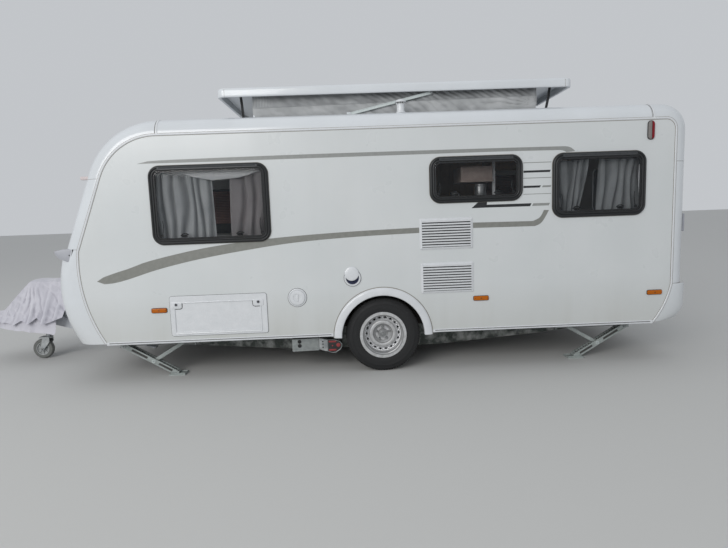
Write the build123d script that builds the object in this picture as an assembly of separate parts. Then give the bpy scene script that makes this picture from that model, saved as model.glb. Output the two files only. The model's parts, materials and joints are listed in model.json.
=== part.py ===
"""Travel caravan with a raised pop-up roof, parked on its wheels, jockey wheel and corner steadies.

Millimetres. The drawbar points to -X, the entrance door is on the +Y side and +Z is up.
The origin is on the ground under the middle of the caravan's box.
"""
from build123d import *
import os
from math import asin, atan2, cos, degrees, hypot, pi, radians, sin, sqrt

os.makedirs("parts", exist_ok=True)

# Body
HALF_WIDTH = 1100.0
WALL = 32.0
INNER = HALF_WIDTH - WALL
BODY_BOTTOM = 338.0
ROOF_Z = 2140.0
REAR_X = 3255.0
REAR_RADIUS = 215.0
REAR_CENTRE = (REAR_X - REAR_RADIUS, ROOF_Z - REAR_RADIUS)
NOSE_RADIUS = 628.0
NOSE_CENTRE = (-1058.0, ROOF_Z - NOSE_RADIUS)
SLOPE_LEAN = 0.388
SLOPE_LENGTH = hypot(1.0, SLOPE_LEAN)
SLOPE_OUT = (-1.0 / SLOPE_LENGTH, SLOPE_LEAN / SLOPE_LENGTH)
SLOPE_TOP = (NOSE_CENTRE[0] + NOSE_RADIUS * SLOPE_OUT[0], NOSE_CENTRE[1] + NOSE_RADIUS * SLOPE_OUT[1])
EDGE_RADIUS = 130.0
CAP_REAR_X = 2925.0
CAP_REAR_Z = 1665.0

# Lower front, round the gas locker
LOCKER_TOP = 1125.0
LOCKER_BACK = -1500.0
LOCKER_FLOOR = (392.0, 410.0)
LOWER_RADIUS = 877.0
LOWER_CENTRE = (-1102.5, 788.0)
LOWER_EDGE_RADIUS = 165.0
SKIN = 30.0
LID_HALF = 700.0
LID_Z = (560.0, 1080.0)
LID_HINGE = (-1938.0, 1086.0)

# Rear bumper
BUMPER_X = 3290.0
BUMPER_TOP = 658.0
BUMPER_RADIUS = 150.0
BUMPER_CENTRE = (BUMPER_X - BUMPER_RADIUS, 488.0)
BUMPER_FRONT = 2978.0
BUMPER_BEND = (3075.0, 496.0)
BUMPER_HOLLOW = 400.0
BUMPER_ROUND = 110.0
BUMPER_TURNS = (0.0, 22.0, 44.0, 66.0, 85.0)
BUMPER_POCKET = (3120.0, 3215.0, 980.0, 1045.0)
FLOOR_REAR = 3070.0

# Floor and chassis
FLOOR_Z = (345.0, 385.0)
RAIL_Y = (760.0, 820.0)
RAIL_WALL = 6.0
RAIL_HOLE = (-245.0, -105.0, 252.0, 318.0)
AXLE_X = 700.0
AXLE_Z = 312.0
BEAM_X = 510.0
BEAM_Z = 262.0
AXLE_END = 30.0
STUB_RADIUS = 22.0

MARKERS = ((-1134.0, 602.0), (1521.0, 599.0), (2982.0, 590.0))
MARKER_SIZE = (64.0, 20.0, 14.0)
OUTLINE_MARKER = (2887.0, 2943.0, 1842.0, 1992.0)
REAR_LAMP_Y = (790.0, 940.0)
REAR_LAMPS_Z = ((690.0, 860.0), (880.0, 1010.0))
PLATE = (270.0, 720.0, 850.0)
FILLER = (0.0, 664.0, 72.0)
INLET = (460.0, 809.0, 66.0)
INLET_FLAP = (454.0, 912.0, 56.0)
FRONT_HANDLE = ((-1946, 1120), (-1864, 1137), (-1793, 1128), (-1820, 1016), (-1924, 1061))
HANDLE_Y = (900.0, 1092.0)
REAR_HANDLE = (985.0, 1085.0, 1235.0)

# Seats, bed and cupboards
SEAT_TOP = 840.0
WORKTOP = 1290.0
CUPBOARD_TOP = 1980.0
BED_X = (-1480.0, -240.0)
KITCHEN = (1080.0, 2000.0, 520.0)
REAR_SEATS = (2080.0, 3060.0)
TALL_CUPBOARD = (1080.0, 1900.0, 480.0)
CURTAIN_Y = (1030.0, 1050.0)
# side, x from, x to, z from, z to
CURTAINS = (
    (-1, -1090, -740, 1160, 1740), (-1, -430, -230, 1160, 1740),
    (-1, 2150, 2440, 1260, 1735), (-1, 2520, 2850, 1260, 1735),
    (1, -1310, -1100, 1160, 1740), (1, -720, -510, 1160, 1740),
    (1, 2150, 2440, 1260, 1735), (1, 2520, 2850, 1260, 1735),
)

# Wheels
TYRE_MID_Y = 973.0
RIM_HOLES = 18
RIM_HOLE_CIRCLE = 138.0
RIM_HOLE_RADIUS = 10.0
ARCH_Z = 308.0
ARCH_RADIUS = 345.0
ARCH_TRIM_RADIUS = 412.0
ARCH_TRIM_BOTTOM = 311.0
WHEEL_BOX_RADIUS = 372.0
WHEEL_BOX_Y = 810.0
WHEEL_BOX_WALL = 12.0

# Windows: side, x from, x to, z from, z to
SIDE_WINDOWS = {
    "front_left": (-1, -1136.0, -184.0, 1136.0, 1768.0),
    "kitchen": (-1, 1111.0, 1870.0, 1391.0, 1762.0),
    "rear_left": (-1, 2113.0, 2882.0, 1239.0, 1761.0),
    "front_right": (1, -1350.0, -470.0, 1136.0, 1768.0),
    "rear_right": (1, 2113.0, 2882.0, 1239.0, 1761.0),
}
FRONT_WINDOW = (1560.0, 540.0, 1452.0)
REAR_WINDOW = (1200.0, 1239.0, 1761.0)
WINDOW_RADIUS = 90.0
FRAME_WIDTH = 34.0
FRAME_PROUD = 22.0
PANE_PROUD = 16.0

# Doors and hatches in the side walls
DOOR = (-370.0, 190.0, 405.0, 1985.0)
DOOR_GAP = 5.0
DOOR_RADIUS = 70.0
DOOR_HINGE = (195.0, 1114.0)
KNUCKLE = 6.5
DOOR_KNUCKLES = (520.0, 1150.0, 1800.0)
HATCH_KNUCKLES = (-900.0, -450.0)
LID_KNUCKLES = (-540.0, 540.0)
DOOR_WINDOW = (-290.0, 110.0, 1239.0, 1761.0)
HATCH_FRAME = (-1043.0, -255.0, 385.0, 711.0)
HATCH = (-1003.0, -310.0, 409.0, 654.0)
HATCH_HINGE = (1115.0, 404.0)
VENTS = ((1025.0, 1455.0, 1020.0, 1268.0), (1028.0, 1458.0, 658.0, 904.0))
VENT_PROUD = 12.0

# Pop-up roof
ROOF_HOLE = (-290.0, 2050.0, 800.0)
COAMING = (30.0, 45.0)
ROOF_LID = (-600.0, 2360.0, 900.0, 2322.0, 2400.0)
LID_EDGE = 30.0
BELLOWS = (-324.0, 2085.0, 836.0)
BELLOWS_WALL = 10.0
LEVER_PIVOT = (481.0, 2163.0)
LEVER_TIP = (1180.0, 2318.0)
LEVER_Y = (843.0, 857.0)
LEVER_DEPTH = 24.0
STRAPS_X = (-480.0, 2230.0)
FLUE = (908.0, -960.0)
LEVER_PIN = 9.0

# Drawbar
MEMBER_REAR = (-1300.0, 790.0, 305.0)
MEMBER_FRONT = (-2560.0, 105.0, 425.0)
MEMBER_DEPTH = 88.0
MEMBER_WIDTH = 50.0
OVERRUN = (-2950.0, -2480.0, 60.0, 372.0, 448.0)
COUPLING_X = -3150.0
COUPLING_Z = 415.0
SOCKET_RADIUS = 25.2
FRONT_X = -3290.0
BRAKE_PIVOT = (-2560.0, 476.0)
BRAKE_LENGTH = 270.0
BRAKE_PIN = 8.0
# x, hem height, ridge height, half width at the hem, half width at the ridge
COVER_STATIONS = (
    (FRONT_X, 300.0, 455.0, 100.0, 70.0),
    (-3130.0, 300.0, 482.0, 175.0, 104.0),
    (-2745.0, 300.0, 779.0, 300.0, 145.0),
    (-2330.0, 320.0, 745.0, 400.0, 170.0),
)
COVER_CLOTH = 6.0

# Jockey wheel
JOCKEY_X = -2610.0
JOCKEY_Y = -150.0
JOCKEY_TRAIL = 60.0
JOCKEY_RADIUS = 100.0
JOCKEY_PIN = 7.0

# Corner steadies: the leg turns at the pivot, the brace joins leg and spindle
STEADY_Y = 895.0
STEADY_PIVOT_Z = 276.0
STEADY_LENGTH = 520.0
STEADY_BRACE = 290.0
STEADY_FOOT = 12.0
STEADY_BRACKET = 622.0
STEADY_PIVOTS = {"front": (-1534.0, 1), "rear": (2840.0, -1)}

SIDES = {"left": -1, "right": 1}


def block(x0, x1, y0, y1, z0, z1):
    """A box from its limits."""
    size = (abs(x1 - x0), abs(y1 - y0), abs(z1 - z0))
    return Pos((x0 + x1) / 2, (y0 + y1) / 2, (z0 + z1) / 2) * Box(*size)


def at(x, z, y=0.0):
    return Vector(x, y, z)


def prism(edges, y0, y1):
    """A closed outline in the XZ plane, drawn out from y0 to y1."""
    face = Face(Wire(edges))
    return extrude(Pos(0, y0, 0) * face, amount=y1 - y0, dir=(0, 1, 0))


def polygon(points, y0, y1):
    ring = list(points) + [points[0]]
    return prism([Line(at(*a), at(*b)) for a, b in zip(ring, ring[1:])], y0, y1)


def rod_y(x, z, radius, y0, y1):
    """A cylinder along Y."""
    return Pos(x, (y0 + y1) / 2, z) * Rot(90, 0, 0) * Cylinder(radius, abs(y1 - y0))


def rod_z(x, y, radius, z0, z1):
    return Pos(x, y, (z0 + z1) / 2) * Cylinder(radius, z1 - z0)


def rod_x(y, z, radius, x0, x1):
    return Pos((x0 + x1) / 2, y, z) * Rot(0, 90, 0) * Cylinder(radius, x1 - x0)


def rounded(x0, x1, z0, z1, radius, y0, y1):
    """A round-cornered block in a side wall."""
    outline = Plane.XZ * RectangleRounded(x1 - x0, z1 - z0, radius)
    low, high = min(y0, y1), max(y0, y1)
    placed = Pos((x0 + x1) / 2, low, (z0 + z1) / 2) * outline
    return extrude(placed, amount=high - low, dir=(0, 1, 0))


def on_side(side, inner, outer):
    """Y limits between two distances from the middle, on one side."""
    return sorted((side * inner, side * outer))


def save(name, *shapes):
    solids = [solid for shape in shapes for solid in shape.solids()]
    export_step(solids[0] if len(solids) == 1 else Compound(children=solids), f"parts/{name}.step")


def slope_x(z, depth=0.0):
    """X of the sloping front at height z, at a depth under its skin."""
    top_x, top_z = SLOPE_TOP
    return top_x + (z - top_z) * SLOPE_LEAN + depth * SLOPE_LENGTH


def circle_x(centre, radius, z, way):
    return centre[0] + way * sqrt(radius * radius - (z - centre[1]) ** 2)


def body_outline(depth, bottom):
    """Front slope, nose arc, roof, rear arc and rear wall, all moved inwards by depth."""
    nose = NOSE_RADIUS - depth
    rear = REAR_RADIUS - depth
    slope_end = at(NOSE_CENTRE[0] + nose * SLOPE_OUT[0], NOSE_CENTRE[1] + nose * SLOPE_OUT[1])
    mid = radians(130.0)
    nose_mid = at(NOSE_CENTRE[0] + nose * cos(mid), NOSE_CENTRE[1] + nose * sin(mid))
    roof_front = at(NOSE_CENTRE[0], ROOF_Z - depth)
    roof_rear = at(REAR_CENTRE[0], ROOF_Z - depth)
    half = sqrt(0.5) * rear
    rear_mid = at(REAR_CENTRE[0] + half, REAR_CENTRE[1] + half)
    rear_top = at(REAR_X - depth, REAR_CENTRE[1])
    start = at(slope_x(bottom, depth), bottom)
    end = at(REAR_X - depth, bottom)
    return [
        Line(start, slope_end),
        ThreePointArc(slope_end, nose_mid, roof_front),
        Line(roof_front, roof_rear),
        ThreePointArc(roof_rear, rear_mid, rear_top),
        Line(rear_top, end),
        Line(end, start),
    ]


def soften(solid, half, radius, lowest):
    """Rounds the long edges where a drawn-out outline meets its two flat sides."""
    def is_edge(edge):
        middle = edge.center()
        ends = [edge.position_at(0), edge.position_at(1)]
        flat = all(abs(abs(point.Y) - half) < 0.001 for point in ends)
        bottom = all(abs(point.Z - lowest) < 0.001 for point in ends)
        return flat and abs(abs(middle.Y) - half) < 0.001 and not bottom

    return fillet([edge for edge in solid.edges() if is_edge(edge)], radius)


def upper_hull(depth):
    half = HALF_WIDTH - depth
    lowest = BODY_BOTTOM - depth
    solid = prism(body_outline(depth, lowest), -half, half)
    return soften(solid, half, EDGE_RADIUS - depth, lowest)


def lower_front(depth, back, bottom, top):
    """The bulging lower front, as one arc in side view."""
    radius = LOWER_RADIUS - depth
    half = HALF_WIDTH - depth
    points = [at(circle_x(LOWER_CENTRE, radius, z, -1), z) for z in (bottom, 730.0, top)]
    edges = [
        ThreePointArc(*points),
        Line(points[2], at(back, top)),
        Line(at(back, top), at(back, bottom)),
        Line(at(back, bottom), points[0]),
    ]
    solid = prism(edges, -half, half)
    ends = [edge for edge in solid.edges() if edge.geom_type == GeomType.CIRCLE]
    return fillet(ends, LOWER_EDGE_RADIUS - depth)


def bumper_edge():
    """The bumper's front edge on a side: the arc that the flat side wall ends on."""
    top = at(REAR_X - EDGE_RADIUS, BUMPER_TOP)
    return ThreePointArc(top, at(*BUMPER_BEND), at(BUMPER_FRONT, BODY_BOTTOM))


def bumper_rear(z, depth=0.0):
    """X of the bumper's rear face at height z: upright, then an arc under it."""
    drop = max(BUMPER_CENTRE[1] - z, 0.0)
    return BUMPER_CENTRE[0] + sqrt((BUMPER_RADIUS - depth) ** 2 - drop ** 2)


def bumper_end_section(turn, side):
    """The bumper's end in side view, at one turn of its rounding from the rear to the side."""
    y = side * (HALF_WIDTH - BUMPER_ROUND + BUMPER_ROUND * sin(radians(turn)))
    edge = bumper_edge()
    centre, radius = edge.arc_center, edge.radius
    turn_z = BUMPER_CENTRE[1]
    points = []
    for z in (BODY_BOTTOM, (BODY_BOTTOM + turn_z) / 2, turn_z, (turn_z + BUMPER_TOP) / 2, BUMPER_TOP):
        front = circle_x((centre.X, centre.Z), radius, z, 1)
        points.append(at(front + (bumper_rear(z) - front) * cos(radians(turn)), z))
    outline = [ThreePointArc(*points[:3]), Spline(points[2:])]
    outline += [Line(points[-1], edge @ 0), edge, Line(edge @ 1, points[0])]
    return Pos(0, y, 0) * Face(Wire(outline))


def bumper_bar(depth, front, bottom, top, half):
    """The bumper's middle, as one outline drawn across."""
    low = at(bumper_rear(bottom, depth), bottom)
    turn_z = BUMPER_CENTRE[1]
    middle_z = (bottom + turn_z) / 2
    side = at(bumper_rear(turn_z, depth), turn_z)
    upper = at(side.X, top)
    edges = [
        ThreePointArc(low, at(bumper_rear(middle_z, depth), middle_z), side),
        Line(side, upper),
        Line(upper, at(front, top)),
        Line(at(front, top), at(front, bottom)),
        Line(at(front, bottom), low),
    ]
    return prism(edges, -half, half)


def side_outline():
    """The side wall's edge: the line where its flat sheet meets the rounded panels."""
    edges = body_outline(EDGE_RADIUS, BODY_BOTTOM)
    slope, nose, roof, rear = edges[0], edges[1], edges[2], edges[3]
    join = at(slope_x(1110.0, EDGE_RADIUS), 1110.0)
    front_low = at(-1588.0, BODY_BOTTOM)
    rear_top = rear.position_at(1)
    corner = bumper_edge()
    return [
        ThreePointArc(front_low, at(-1738.0, 745.0), join),
        Line(join, slope.position_at(1)),
        nose,
        roof,
        rear,
        Line(rear_top, corner @ 0),
        corner,
        Line(corner @ 1, front_low),
    ]


def window_openings(side):
    cuts = []
    for wall_side, x0, x1, z0, z1 in SIDE_WINDOWS.values():
        if wall_side == side:
            y0, y1 = on_side(side, INNER - 5, HALF_WIDTH + 5)
            cuts.append(
                rounded(
                    x0 + FRAME_WIDTH, x1 - FRAME_WIDTH, z0 + FRAME_WIDTH, z1 - FRAME_WIDTH,
                    WINDOW_RADIUS - FRAME_WIDTH, y0, y1,
                )
            )
    return cuts


def side_wall(side):
    y0, y1 = on_side(side, INNER, HALF_WIDTH)
    wall = prism(side_outline(), y0, y1)
    wall -= rod_y(AXLE_X, ARCH_Z, ARCH_RADIUS, y0 - 5, y1 + 5)
    for cut in window_openings(side):
        wall -= cut
    if side < 0:
        wall -= block(*HATCH[:2], y0 - 5, y1 + 5, *HATCH[2:])
    else:
        wall -= rounded(DOOR[0], DOOR[1], DOOR[2], DOOR[3], DOOR_RADIUS, y0 - 5, y1 + 5)
    return wall


def ring_and_pane(width, height, radius):
    """A window frame and its pane on the XY plane, standing out along +Z."""
    outer = RectangleRounded(width, height, radius)
    inner = RectangleRounded(width - 2 * FRAME_WIDTH, height - 2 * FRAME_WIDTH, radius - FRAME_WIDTH)
    frame = extrude(outer - inner, amount=FRAME_PROUD)
    pane = Pos(0, 0, -8) * extrude(inner, amount=PANE_PROUD + 8)
    return frame, pane


def side_plane(side, x0, x1, z0, z1):
    return Plane(
        origin=((x0 + x1) / 2, side * HALF_WIDTH, (z0 + z1) / 2), x_dir=(-side, 0, 0), z_dir=(0, side, 0)
    )


def front_plane():
    mid_z = FRONT_WINDOW[2]
    return Plane(
        origin=(slope_x(mid_z), 0, mid_z), x_dir=(0, -1, 0), z_dir=(SLOPE_OUT[0], 0, SLOPE_OUT[1])
    )


def rear_plane():
    mid_z = (REAR_WINDOW[1] + REAR_WINDOW[2]) / 2
    return Plane(origin=(REAR_X, 0, mid_z), x_dir=(0, 1, 0), z_dir=(1, 0, 0))


def build_windows():
    frames, panes = [], []
    for side, x0, x1, z0, z1 in SIDE_WINDOWS.values():
        frame, pane = ring_and_pane(x1 - x0, z1 - z0, WINDOW_RADIUS)
        plane = side_plane(side, x0, x1, z0, z1)
        frames.append(plane * frame)
        panes.append(plane * pane)
    frame, pane = ring_and_pane(FRONT_WINDOW[0], FRONT_WINDOW[1], WINDOW_RADIUS)
    frames.append(front_plane() * frame)
    panes.append(front_plane() * pane)
    frame, pane = ring_and_pane(REAR_WINDOW[0], REAR_WINDOW[2] - REAR_WINDOW[1], WINDOW_RADIUS)
    frames.append(rear_plane() * frame)
    panes.append(rear_plane() * pane)
    save("window_frames", *frames)
    save("window_panes", *panes)


def window_hole(width, height, plane):
    cut = 2 * FRAME_WIDTH
    opening = RectangleRounded(width - cut, height - cut, WINDOW_RADIUS - FRAME_WIDTH)
    return plane * (Pos(0, 0, -60) * extrude(opening, amount=120))


def build_body():
    flat_sides = [prism(side_outline(), *on_side(side, INNER, HALF_WIDTH + 1)) for side in (-1, 1)]
    shell = upper_hull(0.0) - upper_hull(WALL)
    for flat in flat_sides:
        shell -= flat
    far = 5000.0
    nose_x, nose_z = NOSE_CENTRE
    out_x, out_z = SLOPE_OUT
    above_slope = polygon(
        [
            (nose_x, nose_z),
            (nose_x + 900 * out_x, nose_z + 900 * out_z),
            (nose_x + 900 * out_x, 2400.0),
            (nose_x, 2400.0),
        ],
        -1200, 1200,
    )
    ahead = block(-far, nose_x, -1200, 1200, LOCKER_TOP, 2400)
    front = (shell & ahead) - above_slope
    front -= window_hole(FRONT_WINDOW[0], FRONT_WINDOW[1], front_plane())
    save("front_panel", front)
    save("roof_front_moulding", shell & above_slope)
    rear_cap_zone = block(CAP_REAR_X, far, -1200, 1200, CAP_REAR_Z, 2400)
    roof = shell & block(nose_x, CAP_REAR_X, -1200, 1200, 1900, 2400)
    hole_front, hole_rear, hole_half = ROOF_HOLE
    roof -= block(hole_front, hole_rear, -hole_half, hole_half, 1900, 2400)
    roof += coaming()
    pin_x, pin_z = LEVER_PIVOT
    for side in (-1, 1):
        ear_y = on_side(side, LEVER_Y[1] + 3, LEVER_Y[1] + 9)
        ear = block(pin_x - 16, pin_x + 16, *ear_y, ROOF_Z, pin_z + 15)
        roof += ear - rod_y(pin_x, pin_z, LEVER_PIN + 0.3, -1000, 1000)
    save("roof_panel", roof)
    rear_height = REAR_WINDOW[2] - REAR_WINDOW[1]
    rear_hole = window_hole(REAR_WINDOW[0], rear_height, rear_plane())
    save("roof_rear_moulding", (shell & rear_cap_zone) - rear_hole)
    rear = shell & block(CAP_REAR_X, far, -1200, 1200, BUMPER_TOP, CAP_REAR_Z)
    save("rear_panel", rear - rear_hole)
    for name, side in SIDES.items():
        save(f"side_wall_{name}", side_wall(side))

    lower = lower_front(0.0, LOCKER_BACK, BODY_BOTTOM, LOCKER_TOP)
    hollow = lower_front(SKIN, LOCKER_BACK + 10, BODY_BOTTOM - 40, LOCKER_TOP - SKIN)
    lower -= hollow
    for flat in flat_sides:
        lower -= flat
    for side in (-1, 1):
        lower -= drawbar_notch(side)
    lid_zone = block(-far, -1700, -LID_HALF, LID_HALF, *LID_Z)
    gap = 5.0
    lid = lower & block(-far, -1700, gap - LID_HALF, LID_HALF - gap, LID_Z[0] + gap, LID_Z[1] - gap)
    hinge_x, hinge_z = LID_HINGE
    for y in LID_KNUCKLES:
        lid += rod_y(hinge_x, hinge_z, KNUCKLE - 1, y - 60, y + 60)
        lid += block(hinge_x - 3, hinge_x + 3, y - 55, y + 55, LID_Z[1] - 22, hinge_z - 3)
        lid += block(hinge_x, hinge_x + 10, y - 55, y + 55, LID_Z[1] - 22, LID_Z[1] - gap - 1)
    save("locker_lid", lid)
    save("front_locker_panel", lower - lid_zone)
    back_wall = block(LOCKER_BACK, LOCKER_BACK + 20, -INNER, INNER, FLOOR_Z[1], LOCKER_TOP)
    locker_floor = hollow & block(-far, LOCKER_BACK, -INNER, INNER, *LOCKER_FLOOR)
    save("locker_tub", back_wall + locker_floor)

    save("rear_bumper", rear_bumper())


def rear_bumper():
    inner_front = BUMPER_FRONT - 90
    half = HALF_WIDTH - BUMPER_ROUND
    bumper = bumper_bar(0.0, FLOOR_REAR, BODY_BOTTOM, BUMPER_TOP, half)
    bumper -= bumper_bar(SKIN, inner_front, BUMPER_HOLLOW, BUMPER_TOP - SKIN, half + 1)
    for side in (-1, 1):
        turned_end = loft([bumper_end_section(turn, side) for turn in BUMPER_TURNS])
        turned_end -= block(inner_front, FLOOR_REAR, *on_side(side, 900, INNER), 300, 700)
        x0, x1, y0, y1 = BUMPER_POCKET
        turned_end -= block(x0, x1, *on_side(side, y0, y1), BUMPER_HOLLOW, BUMPER_TOP - SKIN)
        bumper += turned_end
    bumper -= block(inner_front, REAR_X - WALL, -INNER, INNER, BUMPER_TOP - SKIN - 28, 700)
    return bumper


def drawbar_line(x):
    """Distance from the middle, and height of the top, of a drawbar member at x."""
    share = (x - MEMBER_REAR[0]) / (MEMBER_FRONT[0] - MEMBER_REAR[0])
    y = MEMBER_REAR[1] + share * (MEMBER_FRONT[1] - MEMBER_REAR[1])
    z = MEMBER_REAR[2] + share * (MEMBER_FRONT[2] - MEMBER_REAR[2])
    return y, z


def sloped_bar(side, x0, x1, half_width, over, under):
    """A bar along a drawbar member's line, in plan and height, cut square to X."""
    sections = []
    for x in (x0, x1):
        y, z = drawbar_line(x)
        plan_stretch = hypot(1.0, (MEMBER_REAR[1] - MEMBER_FRONT[1]) / (MEMBER_REAR[0] - MEMBER_FRONT[0]))
        half = half_width * plan_stretch
        corners = [
            (x, side * y - half, z + over),
            (x, side * y + half, z + over),
            (x, side * y + half, z - under),
            (x, side * y - half, z - under),
        ]
        sections.append(Face(Wire.make_polygon([Vector(*corner) for corner in corners], close=True)))
    return loft(sections, ruled=True)


def drawbar_notch(side):
    return sloped_bar(side, -2100.0, -1560.0, MEMBER_WIDTH / 2 + 8, 8, MEMBER_DEPTH + 200)


def build_chassis():
    # x and bottom height of the side rails, deepest round the axle
    rail_shape = ((-1480, 262), (-1000, 240), (-75, 160), (1200, 150))
    rail_shape += ((2080, 215), (2500, 262), (2600, 262))
    rails = []
    for side in (-1, 1):
        points = list(rail_shape) + [(rail_shape[-1][0], FLOOR_Z[0]), (rail_shape[0][0], FLOOR_Z[0])]
        web = [(x, z + RAIL_WALL) for x, z in rail_shape]
        hollow = [(web[0][0] - 20, web[0][1])] + web + [(web[-1][0] + 20, web[-1][1])]
        web_top = FLOOR_Z[0] - RAIL_WALL
        hollow += [(rail_shape[-1][0] + 20, web_top), (rail_shape[0][0] - 20, web_top)]
        rail = polygon(points, *on_side(side, *RAIL_Y))
        rail -= polygon(hollow, *on_side(side, RAIL_Y[0] - 5, RAIL_Y[1] - RAIL_WALL))
        rail -= rod_y(BEAM_X, BEAM_Z, AXLE_END, *on_side(side, RAIL_Y[0], RAIL_Y[1] + 5))
        rail -= rounded(*RAIL_HOLE, 30, *on_side(side, RAIL_Y[0], RAIL_Y[1] + 5))
        rails.append(rail)
    save("chassis_rails", *rails)
    crossings = []
    for x in (-1180.0, 1500.0, 2450.0):
        crossings.append(block(x, x + 50, -RAIL_Y[0], RAIL_Y[0], FLOOR_Z[0] - 62, FLOOR_Z[0]))
    save("cross_members", *crossings)

    members = []
    for side in (-1, 1):
        member = sloped_bar(side, MEMBER_FRONT[0], MEMBER_REAR[0], MEMBER_WIDTH / 2, 0, MEMBER_DEPTH)
        members.append(member - block(-1490, -1200, *on_side(side, RAIL_Y[0], 860), 230, 360))
    save("drawbar_members", *members)
    x0, x1, half, z0, z1 = OVERRUN
    front_y = drawbar_line(MEMBER_FRONT[0])[0]
    reach = front_y + MEMBER_WIDTH / 2
    overrun = block(x0, x1, -half, half, z0, z1)
    overrun += block(MEMBER_FRONT[0] - 14, MEMBER_FRONT[0], -reach, reach, z0 - 34, z1 - 10)
    overrun += rod_x(0, COUPLING_Z, 25, COUPLING_X + 70, x0)
    clamp = block(JOCKEY_X - 40, JOCKEY_X + 28, JOCKEY_Y + 30, -half, 380, 440)
    ring = rod_z(JOCKEY_X, JOCKEY_Y, 40, 380, 440) - rod_z(JOCKEY_X, JOCKEY_Y, 30, 370, 450)
    clamp = (clamp - rod_z(JOCKEY_X, JOCKEY_Y, 30, 370, 450)) + ring
    overrun += clamp
    pivot_x, pivot_z = BRAKE_PIVOT
    overrun += block(pivot_x - 22, pivot_x + 22, half - 12, half, z1 - 20, pivot_z + 20)
    overrun += rod_y(pivot_x, pivot_z, BRAKE_PIN, half - 12, 92)
    head = block(COUPLING_X - 52, COUPLING_X + 70, -38, 38, COUPLING_Z - 30, COUPLING_Z + 30)
    head += rod_z(COUPLING_X, 0, 42, COUPLING_Z - 30, COUPLING_Z + 36)
    head -= rod_z(COUPLING_X, 0, SOCKET_RADIUS, COUPLING_Z - 40, COUPLING_Z + 12)
    lever = block(COUPLING_X - 10, COUPLING_X + 160, -14, 14, COUPLING_Z + 40, COUPLING_Z + 50)
    lever += block(COUPLING_X - 10, COUPLING_X + 20, -14, 14, COUPLING_Z + 30, COUPLING_Z + 46)
    save("coupling", overrun + head + lever)

    save("axle", axle())
    movers = []
    for side in (-1, 1):
        mover = block(-75, 190, *on_side(side, 850, 1010), 168, 292)
        mover += rod_y(300, 235, 52, *on_side(side, 882, 1045))
        mover += block(190, 262, *on_side(side, 880, 1010), 190, 280)
        mover += block(20, 110, *on_side(side, RAIL_Y[1], 850), 190, 280)
        movers.append(mover)
    save("manoeuvring_drives", *movers)


def axle():
    """The cross beam, the trailing arms outside the rails, and the stubs that the wheels turn on."""
    outer = RAIL_Y[1]
    whole = rod_y(BEAM_X, BEAM_Z, 55, RAIL_WALL - outer, outer - RAIL_WALL)
    length = hypot(AXLE_X - BEAM_X, AXLE_Z - BEAM_Z)
    tilt = degrees(atan2(AXLE_Z - BEAM_Z, AXLE_X - BEAM_X))
    for side in (-1, 1):
        whole += rod_y(BEAM_X, BEAM_Z, AXLE_END, *on_side(side, outer - RAIL_WALL - 2, outer + 4))
        arm = rod_y(BEAM_X, BEAM_Z, 48, *on_side(side, outer + 2, outer + 32))
        arm += rod_y(AXLE_X, AXLE_Z, 48, *on_side(side, outer + 2, outer + 32))
        arm += Pos((AXLE_X + BEAM_X) / 2, side * (outer + 17), (AXLE_Z + BEAM_Z) / 2) * (
            Rot(0, -tilt, 0) * Box(length, 30, 76)
        )
        arm += rod_y(AXLE_X, AXLE_Z, 128, *on_side(side, outer + 30, outer + 38))
        arm += rod_y(AXLE_X, AXLE_Z, STUB_RADIUS, *on_side(side, outer + 36, 978))
        whole += arm
    return whole


def build_floor():
    floor = block(LOCKER_BACK, FLOOR_REAR, -INNER, INNER, *FLOOR_Z)
    boxes = []
    for side in (-1, 1):
        shape = rod_y(AXLE_X, AXLE_Z, WHEEL_BOX_RADIUS, *on_side(side, WHEEL_BOX_Y, INNER))
        floor -= shape
        inner = WHEEL_BOX_RADIUS - WHEEL_BOX_WALL
        hollow = rod_y(AXLE_X, AXLE_Z, inner, *on_side(side, WHEEL_BOX_Y + WHEEL_BOX_WALL, INNER + 5))
        box = (shape - hollow) & block(0, 1400, *on_side(side, 700, 1200), FLOOR_Z[0], 900)
        boxes.append(box)
    for box in boxes:
        floor += box
    save("floor", floor)


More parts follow.
